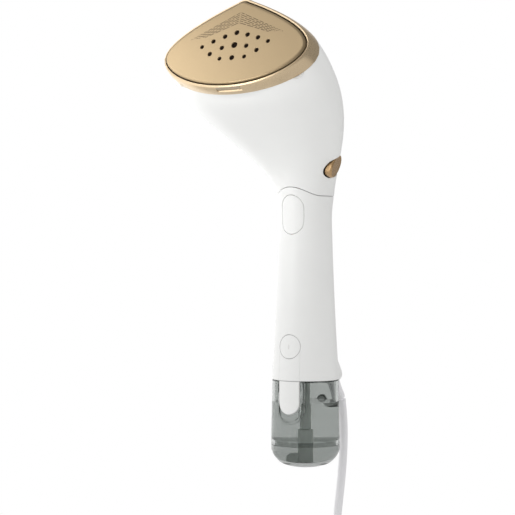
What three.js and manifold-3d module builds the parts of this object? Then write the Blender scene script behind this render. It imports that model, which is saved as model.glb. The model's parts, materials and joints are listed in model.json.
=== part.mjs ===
// Handheld garment steamer: steam head with a gold soleplate, grip, detachable tank and mains lead.
// Millimetres, +Z along the grip towards the head, -Y the front (soleplate side), origin mid grip.
import * as THREE from "three";
import { mergeVertices } from "three/addons/utils/BufferGeometryUtils.js";
import Module from "manifold-3d";

const wasm = await Module();
wasm.setup();

// ---- driving dimensions ----
const GAP = 0.3;
const AROUND = 40;

const GRIP_R = 21.65;
const GRIP_WAIST_Z = 49;
const GRIP_BOTTOM_Z = -81;
const GRIP_WALL = 2.4;
const HEAD_WALL = 2.2;
const SEAM_Z = 68.2;
const SEAM_RISE = 7.1;
const SEAM_SPREAD = 65;

const PLATE_TILT = 19.8;
const PLATE_CENTRE = [0, -104.6, 180.4];
const PLATE_THICK = 3.2;
const PLATE_EDGE = 1.2;
const BEZEL_LIP_DEPTH = 1.6;
const BEZEL_LIP_OUT = 1.4;
const BEZEL_BACK_OUT = 4.3;
const BEZEL_DEPTH = 11.1;
const BEZEL_SIDE_DEPTH = 3.6;
const BEZEL_WALL = 2;
const NOTCH_HALF = 11;
const NOTCH_UP = [-40, -34.6];
const NOTCH_Z = [-8.6, -4];

// Steam holes as [x, up the plate, diameter]; a hole off the middle has its mirror image too.
const STEAM_HOLES = [
  [0, 10.5, 4], [10.3, 8, 3.7], [20.4, 4.7, 3.6], [30.2, 0.8, 3.2],
  [0, 0, 4.9], [11.2, -1.5, 3.6], [21.4, -5.9, 3.6],
  [0, -10.6, 4], [11.3, -10.6, 3.2],
];

// Head loft: lengths of the tangents that leave the bezel and reach the grip, and the belly between them,
// each at 0, 45, 90, 135 and 180 degrees from the back.
const LEAVE = [235.1, 220.1, 30, 30, 69.5];
const ARRIVE = [260, 46.8, 96.9, 178.9, 179.2];
const BELLY = [-4.3, -0.5, 13, 21.9, 22];
const LEAVE_ANGLE = -5.7;
const LEAVE_ANGLE_BACK = -3.2;

const SPINE_HALF = 12;
const SPINE_TOP_Z = 117;

const TRIGGER_HALF = 10;
const TRIGGER_Z = [37.3, 68.8];
const TRIGGER_THICK = 3;
const RELEASE_Z = -53.6;
const RELEASE_R = 9.6;
const COVER_HALF = 9.6;
const COVER_TOP_Z = -58;
const TONGUE_BOTTOM_Z = -108.2;
const LEVER_PIVOT = [-18.5, -64];

const KNOB_BASE = [31.85, -12.35, 93.75];
const KNOB_AXIS = [0.88, 0.05, -0.47];
const KNOB_R = 9.2;
const KNOB_PROUD = 5;
const KNOB_DISH = 0.35;

const TANK_TOP_Z = -81.4;
const TANK_TOP_R = 27.2;
const TANK_LOW_R = 28.2;
const TANK_SPLIT_Z = -134;
const TANK_BOTTOM_Z = -152.5;
const TANK_INSIDE_R = 25.2;
const RECESS_HALF = 10.1;
const RECESS_CENTRE_Z = -104.4;
const RECESS_FLOOR_R = 23.9;
const STOPPER_Z = -101;

const CORD_R = 3.5;
const COIL_CENTRE = [0, 32.9, -262];
const COIL_INNER_R = 32.6;
const COIL_OUTER_R = 47.4;
const COIL_Y = [14.4, 51.4];
// Lead from the end of the strain relief to the coil, as [x, y, z].
const CORD_ROUTE = [
  [0, 59.4, -102.3], [0, 61.6, -113], [0, 62.9, -125], [0, 63.1, -137], [0, 62.2, -150],
  [0, 60, -165], [0, 57.4, -178], [0, 54.7, -190], [0, 52.5, -200], [0.6, 50.6, -209],
];
const RELIEF_ROUTE = [[0, 44.1, -82.4], [0, 50.6, -91.5], [0, 58.1, -100.4]];
// Far end of the lead: the plug hangs under the coil's outer layer, at this x and y.
const TAIL = [43.7, 40.25];

// ---- materials ----
const material = (color, roughness, metalness = 0, opacity = 1) =>
  new THREE.MeshStandardMaterial({ color, roughness, metalness, opacity, transparent: opacity < 1 });
const WHITE_SHELL = material(0xe9e9e6, 0.42);
const WHITE_PART = material(0xe4e4e0, 0.45);
const GOLD_PLATE = material(0xe2c08e, 0.38, 0.8);
const GOLD_TRIM = material(0xd8b88a, 0.32, 0.6);
const BRONZE = material(0x8f6f4d, 0.4, 0.6);
const SMOKE = material(0x8c9691, 0.15, 0, 0.55);
const CLEAR = material(0xa9b3ae, 0.12, 0, 0.45);
const RUBBER = material(0x2a2a2c, 0.8);
const PALE_RUBBER = material(0x9fa5a1, 0.7);
const SILICONE = material(0xb9553f, 0.6);
const CORD_WHITE = material(0xe8e7ea, 0.55);
const GREY_PLASTIC = material(0x6d7470, 0.5);
const BLACK_PLASTIC = material(0x1f2022, 0.5);
const CAST = material(0xa5a8aa, 0.5, 0.8);
const STEEL = material(0xb8babc, 0.3, 0.9);
const BRASS = material(0xc9a550, 0.3, 0.9);
const COPPER = material(0xb06a3c, 0.4, 0.8);
const BOARD = material(0x2e6b45, 0.5);

// ---- making and joining solids ----
function solid(geometry) {
  const plain = new THREE.BufferGeometry();
  plain.setAttribute("position", geometry.getAttribute("position"));
  plain.setIndex(geometry.index);
  const merged = mergeVertices(plain, 1e-4);
  const corners = [...merged.index.array];
  const faces = [];
  for (let i = 0; i < corners.length; i += 3) {
    const [a, b, c] = corners.slice(i, i + 3);
    if (a !== b && b !== c && c !== a) faces.push(a, b, c);
  }
  const positions = merged.getAttribute("position").array;
  const make = (list) =>
    new wasm.Manifold(
      new wasm.Mesh({ numProp: 3, vertProperties: positions, triVerts: new Uint32Array(list) }),
    );
  const made = make(faces);
  return made.volume() > 0 ? made : make(faces.reverse());
}

function geometryOf(shape) {
  const mesh = shape.getMesh();
  const positions = new Float32Array(mesh.numVert * 3);
  for (let i = 0; i < mesh.numVert; i++) {
    positions.set(mesh.vertProperties.subarray(i * mesh.numProp, i * mesh.numProp + 3), i * 3);
  }
  const geometry = new THREE.BufferGeometry();
  geometry.setAttribute("position", new THREE.BufferAttribute(positions, 3));
  geometry.setIndex(new THREE.BufferAttribute(mesh.triVerts, 1));
  geometry.computeVertexNormals();
  return geometry;
}

const group = new THREE.Group();
group.name = "garment_steamer";
function add(name, look, shape) {
  const mesh = new THREE.Mesh(geometryOf(shape), look);
  mesh.name = name;
  group.add(mesh);
}

const union = (...shapes) => shapes.reduce((a, b) => a.add(b));
const cut = (shape, ...tools) => tools.reduce((a, b) => a.subtract(b), shape);
const vec = (p) => new THREE.Vector3(...p);
const placed = (geometry, matrix) => solid(geometry.clone().applyMatrix4(matrix));
const IDENTITY = new THREE.Matrix4();

// Frame whose third axis is the given direction, at a point.
function frameAlong(axis, origin) {
  const up = new THREE.Vector3(0, 0, 1);
  const turn = new THREE.Quaternion().setFromUnitVectors(up, vec(axis).normalize());
  return new THREE.Matrix4().makeRotationFromQuaternion(turn).setPosition(vec(origin));
}

// Solid of revolution about the third axis of a frame; the profile is [radius, height] points.
function revolve(profile, matrix = IDENTITY, segments = 24) {
  const points = profile.map(([r, z]) => new THREE.Vector2(r, z));
  return placed(new THREE.LatheGeometry(points, segments).rotateX(Math.PI / 2), matrix);
}
const rod = (r, z0, z1, matrix, segments) =>
  revolve([[0, z0], [r, z0], [r, z1], [0, z1]], matrix, segments);
const ring = (r0, r1, z0, z1, matrix, segments) =>
  revolve([[r0, z0], [r1, z0], [r1, z1], [r0, z1], [r0, z0]], matrix, segments);
const at = (x, y, z) => new THREE.Matrix4().makeTranslation(x, y, z);

function bar([x0, x1], [y0, y1], [z0, z1], matrix = IDENTITY) {
  const box = new THREE.BoxGeometry(x1 - x0, y1 - y0, z1 - z0);
  return placed(box.translate((x0 + x1) / 2, (y0 + y1) / 2, (z0 + z1) / 2), matrix);
}

// A flat outline drawn in x and z, made solid from y0 to y1.
function slab(outline, y0, y1, curveSegments = 10) {
  const settings = { depth: y1 - y0, bevelEnabled: false, curveSegments };
  const block = new THREE.ExtrudeGeometry(outline, settings);
  return solid(block.rotateX(Math.PI / 2).translate(0, y1, 0));
}

// Upright outline with a round bottom and, if asked, a round top.
function stadium(half, z0, z1, roundTop = true, roundBottom = true) {
  const outline = new THREE.Shape();
  if (roundBottom) outline.absarc(0, z0 + half, half, Math.PI, 2 * Math.PI, false);
  else outline.moveTo(-half, z0).lineTo(half, z0);
  if (roundTop) outline.absarc(0, z1 - half, half, 0, Math.PI, false);
  else outline.lineTo(half, z1).lineTo(-half, z1);
  return outline;
}
function disc(r, x, z) {
  const outline = new THREE.Shape();
  outline.absarc(x, z, r, 0, 2 * Math.PI, false);
  return outline;
}

// Round bar along a smooth curve through points.
function tube(points, r, steps, sides = 10) {
  const section = new THREE.Shape();
  for (let i = 0; i < sides; i++) {
    const turn = (2 * Math.PI * i) / sides;
    const [x, y] = [r * Math.cos(turn), r * Math.sin(turn)];
    if (i) section.lineTo(x, y);
    else section.moveTo(x, y);
  }
  const extrudePath = new THREE.CatmullRomCurve3(points.map(vec), false, "centripetal");
  return solid(new THREE.ExtrudeGeometry(section, { steps, bevelEnabled: false, extrudePath }));
}

// Compression spring between two heights of a frame.
function spring(r, wire, z0, z1, turns, matrix) {
  const steps = turns * 8;
  const points = [];
  for (let i = 0; i <= steps; i++) {
    const turn = (2 * Math.PI * i) / 8;
    points.push([r * Math.cos(turn), r * Math.sin(turn), z0 + wire + ((z1 - z0 - 2 * wire) * i) / steps]);
  }
  return tube(points.map((p) => vec(p).applyMatrix4(matrix).toArray()), wire, steps, 5);
}

// Closed skin over a stack of loops; with ends joined to each other it is a ring, otherwise it is capped.
function skin(loops, joined) {
  const count = loops[0].length;
  const positions = loops.flat().flatMap((p) => [p.x, p.y, p.z]);
  const faces = [];
  const rows = joined ? loops.length : loops.length - 1;
  for (let i = 0; i < rows; i++) {
    for (let j = 0; j < count; j++) {
      const next = (j + 1) % count;
      const [a, b] = [i * count + j, i * count + next];
      const below = ((i + 1) % loops.length) * count;
      faces.push(a, b, below + j, b, below + next, below + j);
    }
  }
  if (!joined) {
    const last = (loops.length - 1) * count;
    const ends = [[0, loops[0], false], [last, loops.at(-1), true]];
    ends.forEach(([start, loop, flip]) => {
      const middle = loop.reduce((sum, p) => sum.add(p), new THREE.Vector3()).divideScalar(count);
      const hub = positions.length / 3;
      positions.push(middle.x, middle.y, middle.z);
      for (let j = 0; j < count; j++) {
        const edge = [start + j, start + ((j + 1) % count)];
        faces.push(hub, ...(flip ? edge : edge.reverse()));
      }
    });
  }
  const geometry = new THREE.BufferGeometry();
  geometry.setAttribute("position", new THREE.Float32BufferAttribute(positions, 3));
  geometry.setIndex(faces);
  return solid(geometry);
}

// ---- soleplate outline ----
const tilt = THREE.MathUtils.degToRad(PLATE_TILT);
const PLATE_OUT = new THREE.Vector3(0, -Math.cos(tilt), Math.sin(tilt));
const PLATE_UP = new THREE.Vector3(0, Math.sin(tilt), Math.cos(tilt));
const PLATE = new THREE.Matrix4()
  .makeBasis(new THREE.Vector3(1, 0, 0), PLATE_UP, PLATE_OUT)
  .setPosition(vec(PLATE_CENTRE));

const halfOutline = new THREE.CurvePath();
[
  [[0, 37.2], [2.6, 37.2], [3.8, 36.1], [5, 35.6]],
  [[5, 35.6], [29, 25.8], [63.8, 9], [63.8, -5]],
  [[63.8, -5], [63.8, -16], [38, -32], [0, -32]],
].forEach((corners) => {
  halfOutline.add(new THREE.CubicBezierCurve(...corners.map(([x, y]) => new THREE.Vector2(x, y))));
});
const finePoints = halfOutline.getPoints(60);
const OUTLINE_HUB = -2;
const OUTLINE_HALF = 63.8;

// Point and outward direction of the outline at an angle from its tip.
function outlineAt(angle) {
  const side = angle > Math.PI ? -1 : 1;
  const wanted = side > 0 ? angle : 2 * Math.PI - angle;
  const angleOf = (p) => Math.atan2(p.x, p.y - OUTLINE_HUB);
  let i = 1;
  while (i < finePoints.length - 1 && angleOf(finePoints[i]) < wanted) i++;
  const [a, b] = [finePoints[i - 1], finePoints[i]];
  const [s, t] = [angleOf(a), angleOf(b)];
  const point = a.clone().lerp(b, Math.min(1, Math.max(0, (wanted - s) / (t - s || 1))));
  const before = finePoints[Math.max(0, i - 3)];
  const after = finePoints[Math.min(finePoints.length - 1, i + 2)];
  const outward = new THREE.Vector2(before.y - after.y, after.x - before.x).normalize();
  if (wanted < 1e-6) outward.set(0, 1);
  if (Math.PI - wanted < 1e-6) outward.set(0, -1);
  return { x: side * point.x, y: point.y, out: new THREE.Vector2(side * outward.x, outward.y) };
}
// Angles round the outline, closer together at the tip and the sides.
const ANGLES = Array.from({ length: AROUND }, (_, i) => {
  const turn = (2 * Math.PI * i) / AROUND;
  return turn - 0.28 * Math.sin(2 * turn);
});
const OUTLINE = ANGLES.map(outlineAt);

const outlinePoint = (p, offset, depth) =>
  new THREE.Vector3(p.x + p.out.x * offset, p.y + p.out.y * offset, -depth).applyMatrix4(PLATE);
const outlineLoop = (offset, depth) => OUTLINE.map((p) => outlinePoint(p, offset, depth));
const everyOther = OUTLINE.filter((_, i) => i % 2 === 0);
const scaledLoop = (scale, depth) =>
  everyOther.map((p) => new THREE.Vector3(p.x * scale, p.y * scale, -depth).applyMatrix4(PLATE));
const bezelDepth = (p) => BEZEL_DEPTH + BEZEL_SIDE_DEPTH * (p.x / OUTLINE_HALF) ** 2;
const onPlate = (x, y, depth = 0) => PLATE.clone().multiply(at(x, y, -depth));

// ---- body surfaces ----
function gripRadius(z) {
  const below = Math.max(GRIP_WAIST_Z - z, 0);
  const above = Math.max(z - GRIP_WAIST_Z, 0);
  return GRIP_R + 0.0245 * below + 0.000157 * below ** 2 + 0.0045 * above ** 2;
}
function seamHeight(angle) {
  const fromFront = Math.abs(THREE.MathUtils.radToDeg(angle) - 180);
  if (fromFront > SEAM_SPREAD) return SEAM_Z;
  return SEAM_Z + (SEAM_RISE * (1 + Math.cos((Math.PI * fromFront) / SEAM_SPREAD))) / 2;
}
// Smooth even blend round the body through five values at 0, 45, 90, 135 and 180 degrees.
function blendRound(values, angle) {
  const last = values.length - 1;
  const half = (i) => (i === 0 || i === last ? 0.5 : 1);
  let sum = 0;
  for (let k = 0; k <= last; k++) {
    const wave = (j) => half(j) * Math.cos((Math.PI * k * j) / last);
    const weight = values.reduce((total, v, j) => total + v * wave(j), 0);
    sum += (2 / last) * half(k) * weight * Math.cos(k * angle);
  }
  return sum;
}

function headPoint(p, angle, s, lift) {
  const back = Math.max(Math.cos(angle), 0) ** 2;
  const lean = THREE.MathUtils.degToRad(LEAVE_ANGLE + (LEAVE_ANGLE_BACK - LEAVE_ANGLE) * back);
  const outward = new THREE.Vector3(p.out.x, 0, 0).addScaledVector(PLATE_UP, p.out.y);
  const start = outlinePoint(p, BEZEL_BACK_OUT, bezelDepth(p) + GAP);
  const leave = PLATE_OUT.clone()
    .multiplyScalar(-Math.cos(lean))
    .addScaledVector(outward, Math.sin(lean));
  const z = seamHeight(angle);
  const r = gripRadius(z);
  const away = new THREE.Vector3(Math.sin(angle), Math.cos(angle), 0);
  const end = away.clone().multiplyScalar(r).setZ(z + lift);
  const slope = 0.009 * (z - GRIP_WAIST_Z);
  const arrive = away.clone().multiplyScalar(-slope).setZ(-1).normalize();
  return start
    .multiplyScalar(2 * s ** 3 - 3 * s ** 2 + 1)
    .addScaledVector(leave, (s ** 3 - 2 * s ** 2 + s) * blendRound(LEAVE, angle))
    .addScaledVector(end, -2 * s ** 3 + 3 * s ** 2)
    .addScaledVector(arrive, (s ** 3 - s ** 2) * blendRound(ARRIVE, angle))
    .addScaledVector(away, 16 * (s * (1 - s)) ** 2 * blendRound(BELLY, angle));
}

const HEAD_ROWS = 10;
function headLoops(lift) {
  return Array.from({ length: HEAD_ROWS + 1 }, (_, i) =>
    OUTLINE.map((p, j) => headPoint(p, ANGLES[j], i / HEAD_ROWS, lift)),
  );
}
// The same loops moved inwards by a wall thickness.
function insetLoops(loops, wall) {
  const last = loops.length - 1;
  return loops.map((loop, i) =>
    loop.map((point, j) => {
      const across = loop[(j + 1) % loop.length].clone().sub(loop.at(j - 1));
      const along = loops[Math.min(i + 1, last)][j].clone().sub(loops[Math.max(i - 1, 0)][j]);
      const inward = along.cross(across).normalize();
      if (i === last) inward.setZ(0).normalize();
      if (i === 0) {
        inward.addScaledVector(PLATE_OUT, -inward.dot(PLATE_OUT)).normalize();
      }
      return point.clone().addScaledVector(inward, wall);
    }),
  );
}
function headShell(lift) {
  const outer = headLoops(lift);
  const inner = insetLoops(outer, HEAD_WALL);
  return skin([...outer, ...inner.reverse()], true);
}

const GRIP_ROWS = 6;
function gripLoops(inset, drop, bottom = GRIP_BOTTOM_Z) {
  return Array.from({ length: GRIP_ROWS + 1 }, (_, i) =>
    ANGLES.map((angle) => {
      const z = bottom + ((seamHeight(angle) - drop - bottom) * i) / GRIP_ROWS;
      const r = gripRadius(z) - inset;
      return new THREE.Vector3(r * Math.sin(angle), r * Math.cos(angle), z);
    }),
  );
}
const gripShell = (drop) => skin([...gripLoops(0, drop), ...gripLoops(GRIP_WALL, drop).reverse()], true);
const gripCore = (inset) => skin(gripLoops(inset, -1, -90), false);
const gripSkin = (thick) => cut(skin(gripLoops(0, 0), false), gripCore(thick));

// ---- outer shells ----
const FAR = 60;
const spinePrism = (half, top) => slab(stadium(half, -90, top, true, false), 6, FAR);
const bossFrom = [0, 20, -43];
const bossTo = [0, 45.2, -84.2];
const bossAxis = vec(bossTo).sub(vec(bossFrom));
const BOSS = frameAlong(bossAxis.toArray(), bossFrom);
const BOSS_LENGTH = bossAxis.length();
const BOSS_R = [7, 9];
const BOSS_BORE_R = 5.6;

const bossSolid = revolve(
  [[0, 0], [BOSS_R[0], 0], [BOSS_R[1] - 0.3, BOSS_LENGTH - 14], [BOSS_R[1], BOSS_LENGTH - 5],
    [BOSS_R[1] - 0.4, BOSS_LENGTH - 2], [BOSS_R[1] - 1.8, BOSS_LENGTH - 0.5], [0, BOSS_LENGTH]],
  BOSS,
  28,
);
const wholeShell = union(gripShell(-0.2), headShell(0));
const spineStrip = wholeShell.intersect(spinePrism(SPINE_HALF - GAP / 2, SPINE_TOP_Z));
const spineCut = spinePrism(SPINE_HALF + GAP / 2, SPINE_TOP_Z + GAP);
const bossClear = rod(BOSS_R[1] + GAP, 0, BOSS_LENGTH, BOSS, 28);

add("head_shell", WHITE_SHELL, cut(
  headShell(GAP),
  spineCut,
  rod(KNOB_R + 0.4, -8, 8, frameAlong(KNOB_AXIS, KNOB_BASE)),
));
add("rear_spine", WHITE_SHELL, cut(
  union(spineStrip, cut(bossSolid, gripCore(GRIP_WALL))),
  rod(BOSS_BORE_R, 8, BOSS_LENGTH + 1, BOSS, 20),
  rod(2.2, -8, 10, BOSS, 12),
));

const triggerShape = (grow) => stadium(TRIGGER_HALF + grow, TRIGGER_Z[0] - grow, TRIGGER_Z[1] + grow);
const releaseShape = (grow) => disc(RELEASE_R + grow, 0, RELEASE_Z);
const coverShape = (grow) => stadium(COVER_HALF + grow, -90, COVER_TOP_Z + grow, false, false);
add("handle_shell", WHITE_SHELL, cut(
  gripShell(0),
  spineCut,
  bossClear,
  slab(triggerShape(0.35), -FAR, 0),
  slab(releaseShape(0.35), -FAR, 0),
  slab(coverShape(GAP), -FAR, 0),
));

// ---- trigger, release button and front cover ----
const TRIGGER_BACK_Y = -18;
add("trigger", WHITE_PART, gripSkin(TRIGGER_THICK).intersect(slab(triggerShape(0), -FAR, 0, 14)));
const ALONG_Y = frameAlong([0, 1, 0], [0, 0, 0]);
const facingBack = (x, z) => at(x, 0, z).multiply(ALONG_Y);
const SWITCH_Z = 53;
const SPRING_Z = 42;
add("trigger_spring", STEEL, spring(3, 0.5, TRIGGER_BACK_Y, -8.6, 3, facingBack(0, SPRING_Z)));
add("trigger_switch", BLACK_PLASTIC, union(
  bar([-6.4, 6.4], [-8, 3.6], [SWITCH_Z - 5, SWITCH_Z + 5]),
  bar([-1.5, 1.5], [-12.5, -7.9], [SWITCH_Z - 2, SWITCH_Z + 2]),
));

const RELEASE_THICK = 3;
const POST_Z = -49.5;
const LEVER_Y = [-19.5, -17.5];
add("release_button", WHITE_PART, cut(
  union(
    gripSkin(RELEASE_THICK).intersect(slab(releaseShape(0), -FAR, 0, 14)),
    bar([-2, 2], [-23.6, LEVER_Y[0] - 0.35], [RELEASE_Z + 0.6, RELEASE_Z + 3.6]),
  ),
  bar([-0.35, 0.35], [-30, -gripRadius(RELEASE_Z) + 0.5], [RELEASE_Z - 3, RELEASE_Z + 3]),
));
const COVER_THICK = 1.5;
const coverBlank = gripSkin(COVER_THICK).intersect(slab(coverShape(0), -FAR, 0));
add("latch_cover", WHITE_PART, cut(coverBlank, slab(releaseShape(0.35), -FAR, 0, 14)));

const tongueProfile = [
  [22.8, -66], [24.5, -66], [25.4, -78], [25.4, -81.3], [27.25, -81.3], [27.25, -109],
  [24.4, -109], [24.4, -84], [24.2, -82], [24.2, -78], [22.8, -66],
];
add("tongue", WHITE_PART, revolve(tongueProfile, IDENTITY, 56).intersect(
  slab(stadium(COVER_HALF, TONGUE_BOTTOM_Z, -60, false), -FAR, 0, 14),
));

// Lever that the button tips: its tail sits behind the button and its hook reaches the tank's catch.
const LEVER_HALF = 6;
const LEVER_PIN = at(0, ...LEVER_PIVOT).multiply(frameAlong([1, 0, 0], [0, 0, 0]));
add("latch_lever", GREY_PLASTIC, cut(
  union(
    bar([-LEVER_HALF, LEVER_HALF], LEVER_Y, [-78, -48]),
    bar([-LEVER_HALF, LEVER_HALF], [-17.6, -16.4], [-78, -76]),
    rod(2.6, -LEVER_HALF, LEVER_HALF, LEVER_PIN, 16),
  ),
  rod(1.3, -10, 10, LEVER_PIN, 12),
));
add("lever_pin", STEEL, rod(1, -9, 9, LEVER_PIN, 12));
add("button_spring", STEEL, spring(2.2, 0.4, -17.2, -6.6, 3, facingBack(0, POST_Z)));

// ---- power button on the head's side ----
const KNOB = frameAlong(KNOB_AXIS, KNOB_BASE);
add("power_button", BRONZE, revolve(
  [[0, -3], [KNOB_R, -3], [KNOB_R, KNOB_PROUD - 0.8], [KNOB_R - 0.7, KNOB_PROUD],
    [KNOB_R - 1.5, KNOB_PROUD], [KNOB_R - 1.8, KNOB_PROUD - KNOB_DISH], [0, KNOB_PROUD - KNOB_DISH]],
  KNOB,
  40,
));
add("power_spring", STEEL, spring(4.2, 0.4, -10.2, -3.4, 3, KNOB));
add("power_switch", BLACK_PLASTIC, union(
  bar([-6.5, 6.5], [-6.5, 6.5], [-21, -10.6], KNOB),
  rod(2, -10.7, -5.6, KNOB, 12),
));

// ---- steam head front ----
const plateBlank = skin(
  [outlineLoop(-0.6, PLATE_THICK), outlineLoop(0, PLATE_THICK - 0.6), outlineLoop(0, PLATE_EDGE),
    outlineLoop(-0.35, PLATE_EDGE * 0.3), outlineLoop(-PLATE_EDGE, 0)],
  false,
);
const allHoles = STEAM_HOLES.flatMap(([x, y, d]) => (x ? [[x, y, d], [-x, y, d]] : [[x, y, d]]));
add("soleplate", GOLD_PLATE, cut(
  plateBlank,
  ...allHoles.map(([x, y, d]) => rod(d / 2, -PLATE_THICK - 1, 1, onPlate(x, y), 16)),
));
add("plate_seal", RUBBER, skin(
  [outlineLoop(0.6, 3.6), outlineLoop(-3.2, 3.6), outlineLoop(-3.2, 5.4), outlineLoop(0.6, 5.4)],
  true,
));
const depthShare = (p, share) => BEZEL_LIP_DEPTH + (bezelDepth(p) - BEZEL_LIP_DEPTH) * share;
const bezelLoop = (offset, share) => OUTLINE.map((p) => outlinePoint(p, offset, depthShare(p, share)));
const bezelRing = skin(
  [bezelLoop(0.95, 0), bezelLoop(BEZEL_LIP_OUT, 0), bezelLoop(2.9, 0.22), bezelLoop(3.8, 0.55),
    bezelLoop(BEZEL_BACK_OUT, 1), bezelLoop(BEZEL_BACK_OUT - BEZEL_WALL, 1), bezelLoop(1.3, 0.5)],
  true,
);
// The notch is a finger slot in the rim's lower edge.
add("bezel", GOLD_TRIM, cut(bezelRing, bar([-NOTCH_HALF, NOTCH_HALF], NOTCH_UP, NOTCH_Z, PLATE)));

// ---- steam chamber ----
const CHAMBER_SCALE = 0.78;
const CHAMBER_DEPTH = [3.5, 16];
const PORT_R = 1.4;
const PORT_REACH = 25;
const chamberPocket = skin([scaledLoop(0.7, 6), scaledLoop(0.7, 17)], false);
const chamberPorts = allHoles
  .filter(([x]) => Math.abs(x) < PORT_REACH)
  .map(([x, y]) => rod(PORT_R, -7, -3, onPlate(x, y), 8));
add("steam_chamber", CAST, cut(
  skin([scaledLoop(CHAMBER_SCALE, CHAMBER_DEPTH[0]), scaledLoop(CHAMBER_SCALE, CHAMBER_DEPTH[1])], false),
  chamberPocket,
  ...chamberPorts,
));
const SCREWS = [[-34, -5], [34, -5], [-12, 15], [12, 15]];
add("chamber_gasket", SILICONE, cut(
  skin([scaledLoop(0.77, 16.3), scaledLoop(0.77, 17.5)], false),
  skin([scaledLoop(0.71, 15), scaledLoop(0.71, 19)], false),
));
const INLET = [0, 8];
const ELEMENT_ENDS = [-22, 22];
const ELEMENT_Y = -6;
add("chamber_cover", CAST, cut(
  union(
    skin([scaledLoop(0.77, 17.8), scaledLoop(0.77, 20.3)], false),
    rod(5, -28, -20, onPlate(...INLET), 20),
    ...SCREWS.map(([x, y]) => rod(3.4, -24, -20, onPlate(x, y), 14)),
  ),
  rod(2, -29, -17, onPlate(...INLET), 12),
  ...SCREWS.map(([x, y]) => rod(1.6, -25, -21, onPlate(x, y), 10)),
  ...ELEMENT_ENDS.map((x) => rod(3, -24, -16, onPlate(x, ELEMENT_Y), 12)),
));
SCREWS.forEach(([x, y], i) => {
  add("chamber_screw_" + (i + 1), STEEL, revolve(
    [[0, -27], [3, -27], [3, -24.4], [1.25, -24.4], [1.25, -21.3], [0, -21.3]],
    onPlate(x, y),
    14,
  ));
});
const elementRoute = [[22, ELEMENT_Y, -30], [22, ELEMENT_Y, -22], [22, ELEMENT_Y, -14], [24, -9, -10],
  [18, -15, -9.8], [0, -17, -9.8]];
const mirrored = elementRoute.slice(0, -1).reverse().map(([x, y, z]) => [-x, y, z]);
add("heating_element", STEEL, tube(
  [...elementRoute, ...mirrored].map((p) => vec(p).applyMatrix4(PLATE).toArray()), 2.4, 30, 6,
));
add("thermostat", CAST, revolve(
  [[0, -27.5], [4, -27.5], [4, -24.5], [7, -24.5], [7, -20.7], [0, -20.7]], onPlate(0, -14), 24,
));
add("thermal_fuse", BRASS, bar([-16, -4], [-3.5, 0.5], [-24.6, -20.7], PLATE));
add("heat_shield", STEEL, cut(
  skin([scaledLoop(0.84, 21.4), scaledLoop(0.84, 22.4)], false),
  rod(5.4, -24, -20, onPlate(...INLET), 20),
  rod(7.4, -24, -20, onPlate(0, -14), 24),
  bar([-16.4, -3.6], [-3.9, 0.9], [-26, -20], PLATE),
  ...SCREWS.map(([x, y]) => rod(3.8, -24, -20, onPlate(x, y), 14)),
  ...ELEMENT_ENDS.map((x) => rod(3, -24, -20, onPlate(x, ELEMENT_Y), 12)),
));

// ---- water path inside the grip ----
const VALVE_R = 5;
add("check_valve", BRASS, union(
  rod(VALVE_R, -38, -28.4, onPlate(...INLET), 20),
  rod(2, -42, -37.9, onPlate(...INLET), 12),
));
const valveTail = vec([...INLET, -42.4]).applyMatrix4(PLATE).toArray();
const PUMP_Y = -8.3;
const COIL_Z = [-36, -2];
add("pressure_tube", SILICONE, tube(
  [[0, PUMP_Y, 14.6], [0, PUMP_Y, 24], [-9, -4, 36], [-10.5, 0, 52], [-8, 2, 78], [-3, -2, 104],
    [0, -20, 139], [0, valveTail[1] + 6, valveTail[2] - 2.2], valveTail],
  2.2, 32, 6,
));
add("pump_body", GREY_PLASTIC, union(
  rod(8.2, -40, 2, at(0, PUMP_Y, 0), 24),
  rod(5, 1.9, 10, at(0, PUMP_Y, 0), 20),
  rod(2, 9.9, 14.3, at(0, PUMP_Y, 0), 12),
  rod(2, -41.8, -39.9, at(0, PUMP_Y, 0), 12),
));
add("pump_coil", COPPER, ring(8.5, 11.5, ...COIL_Z, at(0, PUMP_Y, 0), 28));
add("suction_tube", SILICONE, tube(
  [[0, 0, -57.6], [0, 0, -56.4], [3.5, -0.8, -55], [7.5, -3, -52], [7.5, -5.5, -48.5], [4.5, -7.5, -46],
    [0.4, PUMP_Y, -44], [0, PUMP_Y, -42.3]],
  1.8, 18, 6,
));
const CHASSIS_Y = [4, 6];
add("chassis", GREY_PLASTIC, union(
  bar([-15, 15], CHASSIS_Y, [-62, 58]),
  bar([-3.4, 3.4], [-8.3, 4.1], [SPRING_Z - 3.4, SPRING_Z + 3.4]),
  bar([-3, 3], [-6.3, 4.1], [POST_Z - 3, POST_Z + 3]),
));
const BOARD_Y = [6.4, 8];
add("control_board", BOARD, bar([-12.5, 12.5], BOARD_Y, [-30, 40]));
add("relay", BLACK_PLASTIC, bar([-10, 6], [8.3, 15.5], [10, 24]));
add("capacitor", BLACK_PLASTIC, rod(4.5, -8, 6, at(4, 13.2, 0), 20));

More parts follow.
